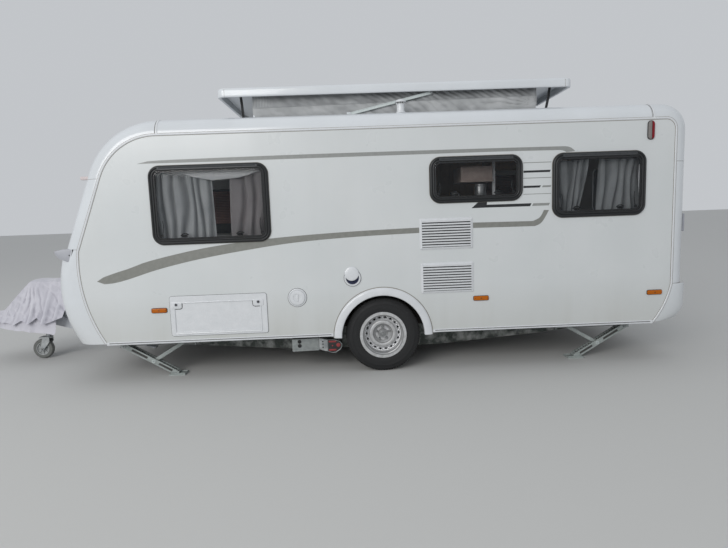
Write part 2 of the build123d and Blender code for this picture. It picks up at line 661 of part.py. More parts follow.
def build_trim():
    trims, rails = [], []
    for side in (-1, 1):
        y0, y1 = on_side(side, HALF_WIDTH, HALF_WIDTH + 18)
        trim = rod_y(AXLE_X, ARCH_Z, ARCH_TRIM_RADIUS, y0, y1)
        trim -= rod_y(AXLE_X, ARCH_Z, ARCH_RADIUS, y0 - 5, y1 + 5)
        trim &= block(0, 1400, y0, y1, ARCH_TRIM_BOTTOM, 900)
        trims.append(trim)
        y0, y1 = on_side(side, HALF_WIDTH, HALF_WIDTH + 8)
        span = sqrt(ARCH_TRIM_RADIUS ** 2 - (350.0 - ARCH_Z) ** 2) + 4
        for x0, x1 in ((-1580.0, AXLE_X - span - 2), (AXLE_X + span + 2, 2972.0)):
            rails.append(block(x0, x1, y0, y1, 326, 352))
    save("lower_trims", *trims, *rails)

    vents = []
    for x0, x1, z0, z1 in VENTS:
        vent = rounded(x0, x1, z0, z1, 12, -HALF_WIDTH - VENT_PROUD, -HALF_WIDTH)
        slots = 10
        pitch = (z1 - z0 - 20) / slots
        for row in range(slots):
            low = z0 + 10 + pitch * (row + 0.3)
            high = low + pitch * 0.4
            vent -= block(x0 + 16, x1 - 16, -HALF_WIDTH - VENT_PROUD - 1, -HALF_WIDTH - 3, low, high)
        vents.append(vent)
    save("fridge_vents", *vents)

    x0, x1, z0, z1 = HATCH_FRAME
    frame = rounded(x0, x1, z0, z1, 14, -HALF_WIDTH - 7, -HALF_WIDTH)
    frame -= block(HATCH[0], HATCH[1], -HALF_WIDTH - 20, -HALF_WIDTH + 5, HATCH[2], HATCH[3])
    save("hatch_frame", frame)
    cap = rod_y(*FILLER, -HALF_WIDTH - 14, -HALF_WIDTH)
    inlet_x, inlet_z, inlet_radius = INLET
    inlet = rod_y(*INLET, -HALF_WIDTH - 10, -HALF_WIDTH)
    inlet -= rod_y(inlet_x, inlet_z, inlet_radius - 14, -HALF_WIDTH - 20, -HALF_WIDTH - 3)
    inlet += rod_y(inlet_x, inlet_z, 22, -HALF_WIDTH - 8, -HALF_WIDTH)
    inlet += block(inlet_x - 20, inlet_x + 10, -HALF_WIDTH - 16, -HALF_WIDTH, inlet_z + 55, inlet_z + 75)
    inlet += rod_y(*INLET_FLAP, -HALF_WIDTH - 22, -HALF_WIDTH - 14)
    save("filler_and_inlet", cap, inlet)
    flue_x, flue_y = FLUE
    flue = rod_z(flue_x, flue_y, 32, ROOF_Z - 8, 2226) + rod_z(flue_x, flue_y, 46, 2222, 2250)
    save("flue", flue - upper_hull(0.0))

    lamps = []
    for side in (-1, 1):
        half_long, half_tall, proud = MARKER_SIZE
        y0, y1 = on_side(side, HALF_WIDTH, HALF_WIDTH + proud)
        for x, z in MARKERS:
            lamps.append(rounded(x - half_long, x + half_long, z - half_tall, z + half_tall, 14, y0, y1))
        lamps.append(rounded(*OUTLINE_MARKER, 26, *on_side(side, HALF_WIDTH, HALF_WIDTH + proud + 4)))
    save("marker_lamps", *lamps)
    rear_lamps = []
    for side in (-1, 1):
        for z0, z1 in REAR_LAMPS_Z:
            rear_lamps.append(block(REAR_X, REAR_X + 26, *on_side(side, *REAR_LAMP_Y), z0, z1))
    save("rear_lamps", *rear_lamps)
    half_plate, z0, z1 = PLATE
    save("number_plate", block(REAR_X, REAR_X + 12, -half_plate, half_plate, z0, z1))
    build_handles()


def build_handles():
    handles = []
    fit = -0.4
    skins = (upper_hull(fit), lower_front(fit, LOCKER_BACK, BODY_BOTTOM, LOCKER_TOP))
    for side in (-1, 1):
        shape = polygon(FRONT_HANDLE, *on_side(side, *HANDLE_Y))
        for skin in skins:
            shape -= skin
        handles.append(shape)
        y, low, high = REAR_HANDLE
        grip = rod_z(REAR_X + 24, side * y, 11, low, high)
        for z in (low + 15, high - 15):
            grip += rod_x(side * y, z, 10, REAR_X, REAR_X + 24)
        handles.append(grip)
    save("grab_handles", *handles)


def build_doors():
    y0, y1 = INNER, HALF_WIDTH
    x0, x1, z0, z1 = DOOR
    gap = DOOR_GAP
    door = rounded(x0 + gap, x1 - gap, z0 + gap, z1 - gap, DOOR_RADIUS - gap, y0, y1)
    wx0, wx1, wz0, wz1 = DOOR_WINDOW
    hole = rounded(
        wx0 + FRAME_WIDTH, wx1 - FRAME_WIDTH, wz0 + FRAME_WIDTH, wz1 - FRAME_WIDTH,
        WINDOW_RADIUS - FRAME_WIDTH, y0 - 5, y1 + 5,
    )
    door -= hole
    door += block(-345, -300, y1, y1 + 20, 1090, 1230)
    hinge_x, hinge_y = DOOR_HINGE
    for z in DOOR_KNUCKLES:
        door += rod_z(hinge_x, hinge_y, KNUCKLE, z - 40, z + 40)
        door += block(x1 - DOOR_GAP - 30, hinge_x - 2, y1, hinge_y - 2, z - 35, z + 35)
    save("entrance_door", door)
    frame, pane = ring_and_pane(wx1 - wx0, wz1 - wz0, WINDOW_RADIUS)
    plane = side_plane(1, wx0, wx1, wz0, wz1)
    save("door_window", plane * frame, plane * pane)
    x0, x1, z0, z1 = HATCH
    gap = 4.0
    hatch = block(x0 + gap, x1 - gap, -HALF_WIDTH - 5, -INNER, z0 + gap, z1 - gap)
    hinge_y, hinge_z = -HATCH_HINGE[0], HATCH_HINGE[1]
    for x in HATCH_KNUCKLES:
        hatch += rod_x(hinge_y, hinge_z, KNUCKLE - 0.5, x - 30, x + 30)
        hatch += block(x - 28, x + 28, hinge_y - 3, hinge_y + 3, hinge_z + 2, z0 + 30)
        hatch += block(x - 28, x + 28, hinge_y, -HALF_WIDTH - 5, z0 + gap + 2, z0 + 30)
    save("hatch_door", hatch)


def coaming():
    """The upstand round the opening in the roof."""
    front, rear, half = ROOF_HOLE
    thick, tall = COAMING
    ring = block(front - thick, rear + thick, -half - thick, half + thick, ROOF_Z - 1, ROOF_Z + tall)
    return ring - block(front, rear, -half, half, ROOF_Z - 5, ROOF_Z + tall + 5)


def build_roof():
    tall = COAMING[1]
    x0, x1, half, z0, z1 = ROOF_LID
    lid = block(x0, x1, -half, half, z0, z1)
    lid = fillet(lid.edges().filter_by(Axis.Z), 60)
    lid = fillet(lid.faces().sort_by(Axis.Z)[-1].edges(), 18)
    top = 24.0
    lid -= block(x0 + LID_EDGE, x1 - LID_EDGE, -half + LID_EDGE, half - LID_EDGE, z0 - 5, z1 - top)
    save("roof_lid", lid)
    light = block(600, 1300, -350, 350, z1, z1 + 40)
    light = fillet(light.edges().filter_by(Axis.Z), 60)
    save("rooflight", light)
    bx0, bx1, bhalf = BELLOWS
    walls = block(bx0, bx1, -bhalf, bhalf, ROOF_Z, z1 - top)
    walls -= block(
        bx0 + BELLOWS_WALL, bx1 - BELLOWS_WALL, BELLOWS_WALL - bhalf, bhalf - BELLOWS_WALL, ROOF_Z - 5, z1
    )
    walls -= block(bx0 + 1, bx1 - 1, -bhalf + 1, bhalf - 1, ROOF_Z - 1, ROOF_Z + tall)
    straps = []
    for x in STRAPS_X:
        for side in (-1, 1):
            straps.append(block(x - 15, x + 15, *on_side(side, 780, 784), ROOF_Z, z1 - top))
    save("roof_bellows", walls, *straps)
    levers = []
    px, pz = LEVER_PIVOT
    tx, tz = LEVER_TIP
    length = hypot(tx - px, tz - pz)
    tilt = degrees(atan2(tz - pz, tx - px))
    for side in (-1, 1):
        y0, y1 = on_side(side, *LEVER_Y)
        middle = Pos((px + tx) / 2, (y0 + y1) / 2, (pz + tz) / 2)
        bar = middle * Rot(0, -tilt, 0) * Box(length, y1 - y0, LEVER_DEPTH)
        bar += rod_y(px, pz, LEVER_DEPTH / 2, y0, y1)
        bar += rod_y(px, pz, LEVER_PIN, *on_side(side, LEVER_Y[0], LEVER_Y[1] + 12))
        levers.append(bar)
    save("roof_lift_levers", *levers)


def wheel_section(points, axis_x, axis_z):
    """Turns a closed outline of (radius, y) points about the line along Y through the axle."""
    ring = [Vector(axis_x, y, axis_z + r) for r, y in points]
    face = Face(Wire.make_polygon(ring, close=True))
    return revolve(face, axis=Axis((axis_x, 0, axis_z), (0, 1, 0)), revolution_arc=360)


def build_wheels():
    # radius and distance from the tyre's middle
    tyre_half = ((178, -92), (196, -92), (200, -95), (248, -97), (290, -89), (306, -76), (312, -58), (312, 58),
                 (306, 76), (290, 89), (248, 97), (200, 95), (196, 92), (178, 92))
    rim_half = ((178, 92), (196, 92), (196, 98), (171, 98), (165, 60), (158, 20), (158, -92), (165, -98),
                (196, -98), (196, -92), (178, -92))
    disc_half = ((24, 12), (60, 14), (85, 40), (112, 40), (135, 16), (162, 22), (162, 14), (135, 6), (112, 30),
                 (88, 30), (70, 2), (24, 2))
    drum_half = ((24, -105), (128, -105), (128, -22), (62, -22), (62, 8), (24, 8))
    for name, side in SIDES.items():
        mid = side * TYRE_MID_Y
        turned = [
            wheel_section([(r, mid + side * y) for r, y in outline], AXLE_X, AXLE_Z)
            for outline in (tyre_half, rim_half, disc_half, drum_half)
        ]
        save(f"tyre_{name}", turned[0])
        rim = turned[1] + turned[2] + turned[3]
        rim += rod_y(AXLE_X, AXLE_Z, 33, *on_side(side, TYRE_MID_Y + 8, TYRE_MID_Y + 34))
        for hole in range(RIM_HOLES):
            angle = 2 * pi * hole / RIM_HOLES
            x, z = AXLE_X + RIM_HOLE_CIRCLE * cos(angle), AXLE_Z + RIM_HOLE_CIRCLE * sin(angle)
            rim -= rod_y(x, z, RIM_HOLE_RADIUS, *on_side(side, TYRE_MID_Y, TYRE_MID_Y + 40))
        save(f"rim_{name}", rim)


def build_jockey():
    x, y = JOCKEY_X, JOCKEY_Y
    outer = rod_z(x, y, 30, 342, 640) - rod_z(x, y, 26, 320, 630)
    outer += rod_z(x, y, 8, 640, 680)
    save("jockey_outer_tube", outer)
    crown = 2 * JOCKEY_RADIUS + 6
    save("jockey_inner_tube", rod_z(x, y, 24, crown + 14, 500))
    wheel_x = x - JOCKEY_TRAIL
    fork = rod_z(x, y, 34, crown, crown + 14)
    shape = [(x + 20, crown + 14), (x - 44, crown + 14), (wheel_x - 16, JOCKEY_RADIUS - 10)]
    shape += [(wheel_x - 8, JOCKEY_RADIUS - 20), (wheel_x + 8, JOCKEY_RADIUS - 20), (x + 20, crown - 36)]
    for cheek in (-37, 37):
        fork += polygon(shape, y + cheek - 3, y + cheek + 3)
    fork += block(wheel_x - 20, x + 20, y - 40, y + 40, crown, crown + 14)
    fork += rod_y(wheel_x, JOCKEY_RADIUS, JOCKEY_PIN, y - 40, y + 40)
    save("jockey_fork", fork)
    wheel = rod_y(wheel_x, JOCKEY_RADIUS, JOCKEY_RADIUS, y - 28, y + 28)
    wheel = fillet(wheel.edges().filter_by(GeomType.CIRCLE), 12)
    save("jockey_wheel", wheel - rod_y(wheel_x, JOCKEY_RADIUS, JOCKEY_PIN + 0.3, y - 40, y + 40))


def build_brake():
    x, z = BRAKE_PIVOT
    lever = block(x - 14, x + 14, 80, 92, z - 20, z + BRAKE_LENGTH)
    lever += rod_z(x, 86, 15, z + BRAKE_LENGTH - 100, z + BRAKE_LENGTH)
    lever -= rod_y(x, z, BRAKE_PIN + 0.3, 70, 100)
    save("handbrake_lever", lever)


def steady_geometry(pivot_x, way):
    """Foot, brace pin and nut places of one steady, all at rest."""
    drop = STEADY_PIVOT_Z - STEADY_FOOT
    angle = asin(drop / STEADY_LENGTH)
    foot_x = pivot_x + way * STEADY_LENGTH * cos(angle)
    pin = (pivot_x + way * STEADY_BRACE * cos(angle), STEADY_PIVOT_Z - STEADY_BRACE * sin(angle))
    nut_x = pivot_x + way * 2 * STEADY_BRACE * cos(angle)
    return angle, foot_x, pin, nut_x


def strut_between(x0, z0, x1, z1, y0, y1, depth, extra=0.0):
    length = hypot(x1 - x0, z1 - z0) + 2 * extra
    tilt = degrees(atan2(z1 - z0, x1 - x0))
    middle = Pos((x0 + x1) / 2, (y0 + y1) / 2, (z0 + z1) / 2)
    return middle * Rot(0, -tilt, 0) * Box(length, abs(y1 - y0), depth)


def build_steadies():
    brackets = []
    for end, (pivot_x, way) in STEADY_PIVOTS.items():
        for name, side in SIDES.items():
            y = side * STEADY_Y
            angle, foot_x, pin, nut_x = steady_geometry(pivot_x, way)
            leg = None
            for cheek in (-1, 1):
                bar = strut_between(pivot_x, STEADY_PIVOT_Z, foot_x, STEADY_FOOT + 6, y + cheek * 27 - 3,
                                    y + cheek * 27 + 3, 30)
                leg = bar if leg is None else leg + bar
            leg += rod_y(pivot_x, STEADY_PIVOT_Z, 9, y - 44, y + 44)
            leg += rod_y(*pin, 8, y - 30, y + 30)
            leg += block(foot_x - 70, foot_x + 70, y - 55, y + 55, 0, STEADY_FOOT)
            leg -= block(foot_x - 200, foot_x + 200, y - 60, y + 60, -60, 0)
            save(f"steady_leg_{end}_{name}", leg)
            brace = rod_y(*pin, 12, y - 17, y + 17)
            for cheek in (-1, 1):
                middle = y + cheek * 14.5
                brace += strut_between(*pin, nut_x, STEADY_PIVOT_Z, middle - 2.5, middle + 2.5, 16)
            brace -= rod_y(*pin, 8.3, y - 40, y + 40)
            save(f"steady_brace_{end}_{name}", brace)
            end_x = pivot_x + way * STEADY_BRACKET
            plate_x = sorted((pivot_x - way * 40, end_x))
            bracket = block(*plate_x, y - 35, y + 35, FLOOR_Z[0] - 6, FLOOR_Z[0])
            for cheek in (-1, 1):
                ear_y = y + cheek * 38
                ear = block(pivot_x - 22, pivot_x + 22, ear_y - 3, ear_y + 3, 260, FLOOR_Z[0])
                bracket += ear - rod_y(pivot_x, STEADY_PIVOT_Z, 9.3, y - 60, y + 60)
            bracket += block(*sorted((end_x, end_x - way * 6)), y - 35, y + 35, 260, FLOOR_Z[0])
            spindle_x = sorted((pivot_x + way * 40, end_x + way * 16))
            bracket += rod_x(y, STEADY_PIVOT_Z, 8, *spindle_x)
            brackets.append(bracket)
    save("steady_brackets", *brackets)


def cover_section(x, low, high, half_low, half_high):
    corners = [(x, -half_low, low), (x, half_low, low), (x, half_high, high), (x, -half_high, high)]
    return Face(Wire.make_polygon([Vector(*corner) for corner in corners], close=True))


def cover_solid(stations):
    solid = None
    for pair in zip(stations, stations[1:]):
        piece = loft([cover_section(*station) for station in pair], ruled=True)
        solid = piece if solid is None else solid + piece
    return solid


def build_cover():
    shifts = [0.0] * len(COVER_STATIONS)
    shifts[0], shifts[-1] = COVER_CLOTH, -COVER_CLOTH
    thin = []
    for (x, low, high, half_low, half_high), shift in zip(COVER_STATIONS, shifts):
        cut = COVER_CLOTH
        thin.append((x + shift, low - 20, high - cut, half_low - cut, half_high - cut))
    cover = cover_solid(COVER_STATIONS) - cover_solid(thin)
    back_x = COVER_STATIONS[-1][0]
    cover -= block(back_x - 10, back_x + 10, -320, 320, 300, 450)
    save("drawbar_cover", cover)


def build_interior():
    x0, x1 = BED_X
    bed = block(x0, x1, -INNER, INNER, FLOOR_Z[1], SEAT_TOP)
    bed -= block(x0 + 18, x1 - 18, -INNER - 5, -100, FLOOR_Z[1] + 18, SEAT_TOP - 150)
    save("front_bed", bed)
    x0, x1, inner_y = KITCHEN
    kitchen = block(x0, x1, -INNER, -inner_y, FLOOR_Z[1], WORKTOP)
    rear_seats = block(*REAR_SEATS, -INNER, INNER, FLOOR_Z[1], SEAT_TOP)
    x0, x1, inner_y = TALL_CUPBOARD
    tall_cupboard = block(x0, x1, inner_y, INNER, FLOOR_Z[1], CUPBOARD_TOP)
    save("furniture", kitchen, rear_seats, tall_cupboard)


def build_curtains():
    curtains = [block(x0, x1, *on_side(side, *CURTAIN_Y), z0, z1) for side, x0, x1, z0, z1 in CURTAINS]
    save("curtains", *curtains)


build_body()
build_windows()
build_chassis()
build_floor()
build_trim()
build_doors()
build_roof()
build_wheels()
build_jockey()
build_brake()
build_steadies()
build_cover()
build_interior()
build_curtains()
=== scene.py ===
"""Dresses the travel caravan's frame: its finishes, glazing, trims, fabrics, wheels and running gear."""
import bpy
import bmesh
import json
from math import atan2, cos, hypot, pi, radians, sin, sqrt
from mathutils import Matrix, Vector, noise

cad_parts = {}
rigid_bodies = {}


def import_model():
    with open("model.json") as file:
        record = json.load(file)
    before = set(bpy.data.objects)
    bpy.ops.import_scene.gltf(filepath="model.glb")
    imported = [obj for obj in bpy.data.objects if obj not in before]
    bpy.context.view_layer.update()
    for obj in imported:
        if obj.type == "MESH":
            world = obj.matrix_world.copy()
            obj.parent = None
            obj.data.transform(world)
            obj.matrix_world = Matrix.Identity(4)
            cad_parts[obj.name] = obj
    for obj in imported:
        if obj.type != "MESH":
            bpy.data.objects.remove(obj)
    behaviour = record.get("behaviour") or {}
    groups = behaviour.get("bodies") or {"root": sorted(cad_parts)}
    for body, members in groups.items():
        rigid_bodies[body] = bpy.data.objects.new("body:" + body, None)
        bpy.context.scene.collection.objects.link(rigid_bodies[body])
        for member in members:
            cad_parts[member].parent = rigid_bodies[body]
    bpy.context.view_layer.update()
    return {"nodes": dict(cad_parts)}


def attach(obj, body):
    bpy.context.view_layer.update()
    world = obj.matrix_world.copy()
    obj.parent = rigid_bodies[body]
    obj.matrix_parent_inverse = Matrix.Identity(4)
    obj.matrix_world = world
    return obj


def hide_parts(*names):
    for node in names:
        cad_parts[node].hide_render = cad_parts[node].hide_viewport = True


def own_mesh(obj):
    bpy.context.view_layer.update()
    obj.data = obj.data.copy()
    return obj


for leftover in list(bpy.data.objects):
    bpy.data.objects.remove(leftover)
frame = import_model()
cad_nodes = frame["nodes"]
scene = bpy.context.scene

MM = 0.001
WALL_Y = 1100.0
AXLE = (700.0, 312.0)
TYRE_MID_Y = 973.0
ROOF_Z = 2140.0
SIDES = {"left": -1, "right": 1}

# Camera: place, lens and turn fitted to the wheel, the body's bottom edge and its roof line
CAMERA_PLACE = Vector((0.462, -5.346, 1.346))
LENS = 25.71
YAW, PITCH, ROLL = radians(1.26), radians(6.82), radians(-2.09)


def set_camera():
    turn = Matrix.Rotation(-YAW, 3, "Z") @ Matrix.Rotation(pi / 2 - PITCH, 3, "X")
    turn = turn @ Matrix.Rotation(ROLL, 3, "Z")
    data = bpy.data.cameras.new("camera")
    data.lens = LENS
    data.sensor_width = 36.0
    data.sensor_fit = "HORIZONTAL"
    camera = bpy.data.objects.new("camera", data)
    camera.matrix_world = Matrix.Translation(CAMERA_PLACE) @ turn.to_4x4()
    scene.collection.objects.link(camera)
    scene.camera = camera


set_camera()


def paint(code):
    """A colour written as six hex digits, as the shader takes it."""
    parts = [int(code[place:place + 2], 16) / 255 for place in (0, 2, 4)]
    return [part / 12.92 if part <= 0.04045 else ((part + 0.055) / 1.055) ** 2.4 for part in parts] + [1.0]


class Field:
    """A number, colour or vector that a finish works out over the surface."""

    def __init__(self, finish, socket):
        self.finish = finish
        self.socket = socket

    def maths(self, operation, first, second=0.0):
        return self.finish.node("ShaderNodeMath", {"operation": operation}, {0: first, 1: second})

    def __add__(self, other):
        return self.maths("ADD", self, other)

    def __sub__(self, other):
        return self.maths("SUBTRACT", self, other)

    def __rsub__(self, other):
        return self.maths("SUBTRACT", other, self)

    def __mul__(self, other):
        return self.maths("MULTIPLY", self, other)

    def above(self, edge, soft):
        """0 below the edge and 1 above it, with a soft step."""
        values = {"Value": self, "From Min": edge - soft, "From Max": edge + soft}
        return self.finish.node("ShaderNodeMapRange", {}, values)

    def near(self, middle, half, soft):
        """1 within half of the middle value, fading to 0."""
        away = self.maths("ABSOLUTE", self - middle)
        return 1.0 - away.above(half, soft)

    def part(self, axis):
        return self.finish.node("ShaderNodeSeparateXYZ", {}, {0: self}, axis)

    def sine(self, rate):
        return self.maths("SINE", self * rate)


class Finish:
    """One material: its node tree and its main shader."""

    def __init__(self, name, **sockets):
        self.material = bpy.data.materials.new(name)
        self.material.use_nodes = True
        self.tree = self.material.node_tree
        self.shader = self.tree.nodes["Principled BSDF"]
        self.place = self.node("ShaderNodeTexCoord", {}, {}, "Object")
        for name, value in sockets.items():
            self.feed(self.shader.inputs[name.replace("_", " ")], value)

    def feed(self, socket, value):
        if isinstance(value, Field):
            self.tree.links.new(value.socket, socket)
        else:
            socket.default_value = value

    def node(self, kind, settings, values, output=0):
        node = self.tree.nodes.new(kind)
        for name, value in settings.items():
            if name == "stops":
                set_stops(node.color_ramp, value)
            else:
                setattr(node, name, value)
        for name, value in values.items():
            self.feed(node.inputs[name], value)
        return Field(self, node.outputs[output])

    def set(self, name, value):
        self.feed(self.shader.inputs[name], value)

    def noise(self, scale, detail=3.0, stretch=(1.0, 1.0, 1.0), rough=0.5):
        place = self.node("ShaderNodeMapping", {}, {"Vector": self.place, "Scale": stretch})
        return self.node("ShaderNodeTexNoise", {},
                         {"Vector": place, "Scale": scale, "Detail": detail, "Roughness": rough})

    def axes(self):
        return [self.place.part(axis) for axis in "XYZ"]

    def from_axle(self):
        """Across and up from the wheel's centre, and the distance from it."""
        start = (-AXLE[0] * MM, 0.0, -AXLE[1] * MM)
        place = self.node("ShaderNodeMapping", {}, {"Vector": self.place, "Location": start})
        x, z = place.part("X"), place.part("Z")
        return x, z, x.maths("SQRT", x * x + z * z)

    def carried(self, name):
        """A number that the mesh's own points carry."""
        return self.node("ShaderNodeAttribute", {"attribute_name": name}, {}, 2)

    def ramp(self, value, *stops):
        return self.node("ShaderNodeValToRGB", {"stops": stops}, {"Fac": value})

    def between(self, mask, low, high):
        """One colour or the other, by the mask."""
        return self.node("ShaderNodeMix", {"data_type": "RGBA"}, {0: mask, 6: low, 7: high}, 2)

    def bump(self, height, depth, strength=1.0):
        """Depth in millimetres."""
        normal = self.node("ShaderNodeBump", {},
                           {"Height": height, "Distance": depth * MM, "Strength": strength})
        self.set("Normal", normal)


def set_stops(ramp, stops):
    while len(ramp.elements) < len(stops):
        ramp.elements.new(0.5)
    for element, (position, colour) in zip(ramp.elements, stops):
        element.position = position
        element.color = colour


def speckled(name, base, worn, scale=40.0, rough=(0.35, 0.5), grain=0.0, grain_scale=900.0, **sockets):
    """A finish whose colour and roughness drift between two values, with a fine grain."""
    finish = Finish(name, **sockets)
    drift = finish.noise(scale, 4.0)
    finish.set("Base Color", finish.between(drift.above(0.5, 0.25), paint(base), paint(worn)))
    finish.set("Roughness", drift * (rough[1] - rough[0]) + rough[0])
    if grain:
        finish.bump(finish.noise(grain_scale, 2.0), grain)
    return finish


SEAM_SOFT = 0.0007
NOSE_CENTRE = (-1058.0, 1512.0)
SLOPE_OUT = (-0.93230, 0.36173)
CAP_REAR_X = 2925.0


def wall_white():
    """Painted aluminium sheet: cool off-white, faintly uneven, greyer low down from spray."""
    finish = Finish("wall_sheet", Coat_Roughness=0.12)
    height = finish.place.part("Z")
    drift = finish.noise(1.4, 3.0)
    clean = finish.between(drift.above(0.5, 0.2), paint("D3D6D7"), paint("CDD1D2"))
    streak = finish.noise(5.0, 4.0, (1.0, 1.0, 0.06)).above(0.6, 0.2)
    low = 1.0 - height.above(0.52, 0.22)
    dust = low * 0.30 + streak * low * 0.25 + streak * 0.06
    finish.set("Base Color", finish.between(dust, clean, paint("A9A89E")))
    finish.set("Roughness", finish.noise(7.0, 2.0) * 0.10 + 0.24 + dust * 0.25)
    finish.set("Coat Weight", 0.25)
    finish.bump(finish.noise(2.2, 1.0), 0.7, 0.35)
    return finish


def moulding_white():
    """Moulded panels, a touch bluer and smoother than the sheet, with the joints between them drawn in."""
    finish = Finish("moulded_panel", Coat_Roughness=0.08)
    x, z = finish.place.part("X"), finish.place.part("Z")
    drift = finish.noise(1.8, 3.0)
    clean = finish.between(drift.above(0.5, 0.2), paint("D8DCE0"), paint("D1D5D9"))
    half = 0.0016
    ahead = 1.0 - x.above(NOSE_CENTRE[0] * MM + 0.002, SEAM_SOFT)
    behind = x.above(CAP_REAR_X * MM - 0.002, SEAM_SOFT)
    seams = [
        x.near(NOSE_CENTRE[0] * MM, half, SEAM_SOFT),
        x.near(CAP_REAR_X * MM, half, SEAM_SOFT) * z.above(1.6, SEAM_SOFT),
        z.near(1.665, half, SEAM_SOFT) * behind,
        z.near(0.658, half, SEAM_SOFT) * behind,
        z.near(1.682, half, SEAM_SOFT) * ahead,
        z.near(1.125, half, SEAM_SOFT) * ahead,
    ]
    seam = seams[0]
    for other in seams[1:]:
        seam = seam.maths("MAXIMUM", seam, other)
    low = 1.0 - z.above(0.5, 0.2)
    streak = finish.noise(4.0, 4.0, (1.0, 1.0, 0.08)).above(0.62, 0.2)
    dust = low * 0.22 + streak * 0.07
    dusty = finish.between(dust, clean, paint("A8A79E"))
    finish.set("Base Color", finish.between(seam * 0.8, dusty, paint("6F6A62")))
    finish.set("Roughness", finish.noise(6.0, 2.0) * 0.08 + 0.17 + dust * 0.3)
    finish.set("Coat Weight", 0.35)
    finish.bump(finish.noise(3.0, 1.0) - seam * 2.0, 0.8, 0.4)
    return finish


def tyre_rubber():
    """Black rubber, greyer with dust, with fine bars round the shoulder and rings on the sidewall."""
    finish = Finish("tyre_rubber_left")
    x, z, radius = finish.from_axle()
    angle = x.maths("ARCTAN2", x, z)
    bars = angle.sine(150.0).above(0.0, 0.35)
    band = radius.near(0.2885, 0.010, 0.001)
    low_bars = angle.sine(90.0).above(0.3, 0.3) * radius.near(0.228, 0.006, 0.001)
    rings = radius.sine(1400.0) * radius.near(0.254, 0.008, 0.001) * 0.5
    dust = finish.noise(9.0, 5.0).above(0.5, 0.2)
    fine = finish.noise(300.0, 2.0)
    dusty = finish.between(dust * 0.8, paint("141517"), paint("232324"))
    finish.set("Base Color", finish.between(radius.above(0.306, 0.003) * 0.5, dusty, paint("3A3835")))
    finish.set("Roughness", dust * 0.18 + 0.62)
    finish.bump(bars * band + low_bars + rings + fine * 0.25, 0.9, 0.7)
    return finish


def rim_paint():
    """Silver painted steel, with painted shade on the drum behind the holes, in the grooves and along the
    pressed edge, and a painted highlight on the band of holes.
    """
    finish = Finish("rim_silver_paint")
    y = finish.place.part("Y")
    # painted shade: the drum seen behind the holes is painted near black
    inner = 1.0 - y.maths("ABSOLUTE", y).above(0.962, 0.004)
    drift = finish.noise(30.0, 4.0)
    silver = finish.between(drift.above(0.52, 0.2), paint("D2D3D5"), paint("B4B4B3"))
    x, z, radius = finish.from_axle()
    # painted shade: darker rings in the grooves between the disc, the rim and the hub
    painted_groove_shade = radius.near(0.157, 0.002, 0.004)
    for ring in (0.081, 0.036):
        painted_groove_shade = painted_groove_shade.maths("MAXIMUM", painted_groove_shade, radius.near(ring, 0.002, 0.004))
    # painted highlight: the band of holes, shaded in its recess, is painted a brighter, less metallic silver
    band = radius.near(0.136, 0.018, 0.004)
    silver = finish.between(band, silver, paint("F0F1F3"))
    # painted shade: a darker grey ring along the pressed edge
    silver = finish.between(radius.near(0.167, 0.005, 0.002), silver, paint("8C8D8E"))
    silver = finish.between(painted_groove_shade * 0.75, silver, paint("4B4A49"))
    finish.set("Base Color", finish.between(inner, silver, paint("1E1D1C")))
    finish.set("Metallic", 0.55 - inner * 0.55 - band * 0.35)
    finish.set("Roughness", drift * 0.2 + 0.3 + inner * 0.3)
    finish.bump(finish.noise(700.0, 2.0), 0.12)
    return finish


def galvanised_steel(name, bright="B4B8BA", dull="8E9294"):
    """Hot-dip zinc: spangle patches, a soft shine, white bloom in places."""
    finish = Finish(name)
    cells = finish.node(
        "ShaderNodeTexVoronoi", {}, {"Vector": finish.place, "Scale": 75.0, "Randomness": 1.0}, "Color"
    )
    patch = finish.node("ShaderNodeSeparateColor", {}, {0: cells})
    bloom = finish.noise(14.0, 4.0).above(0.56, 0.12)
    mixed = patch * 0.6 + finish.noise(25.0, 3.0) * 0.4
    colour = finish.between(mixed, paint(dull), paint(bright))
    finish.set("Base Color", finish.between(bloom * 0.45, colour, paint("C9CBC9")))
    finish.set("Metallic", 0.75 - bloom * 0.35)
    finish.set("Roughness", patch * 0.14 + 0.34 + bloom * 0.2)
    finish.bump(finish.noise(220.0, 3.0), 0.25)
    return finish


def woven(name, base, shade, thread=1100.0, weave_depth=0.25, crease=0.0, sheen=0.25, hollow="", **sockets):
    """A plain weave: two crossed sets of threads, with a soft drift of colour, and painted shade in the
    folds.
    """
    finish = Finish(name, Sheen_Weight=sheen, **sockets)
    x, y, z = finish.axes()
    weave = (x + y).sine(thread) * z.sine(thread)
    drift = finish.noise(6.0, 4.0)
    colour = finish.between(drift.above(0.5, 0.25), paint(base), paint(shade))
    # painted shade: the mesh's own shade value darkens the folds towards the last colour
    if hollow:
        colour = finish.between(finish.carried("hollow"), colour, paint(hollow))
    finish.set("Base Color", finish.between(weave * 0.12 + 0.12, colour, paint(shade)))
    finish.set("Roughness", drift * 0.1 + 0.78)
    height = weave * 0.5
    if crease:
        height = height + finish.noise(11.0, 5.0) * crease
    finish.bump(height, weave_depth, 0.6)
    return finish


def lens(name, base, deep, rib=650.0):
    """A coloured lens with fine moulded prisms."""
    finish = Finish(name, Coat_Weight=0.1, Coat_Roughness=0.1, Roughness=0.28, IOR=1.3)
    x, y, z = finish.axes()
    prisms = (x + y).sine(rib) * z.sine(rib)
    finish.set("Base Color", finish.between(prisms * 0.3 + 0.35, paint(base), paint(deep)))
    finish.bump(prisms, 0.6, 0.5)
    return finish


def tinted_pane():
    """Grey tinted acrylic: see-through, glossy, with a trace of fine scratches."""
    finish = Finish("tinted_acrylic", IOR=1.5)
    finish.set("Base Color", paint("24282C"))
    haze = finish.noise(3.0, 4.0)
    finish.set("Roughness", haze.above(0.6, 0.3) * 0.05 + 0.03)
    finish.set("Alpha", haze * 0.08 + 0.16)
    finish.bump(finish.noise(2.5, 1.0), 1.2, 0.3)
    return finish


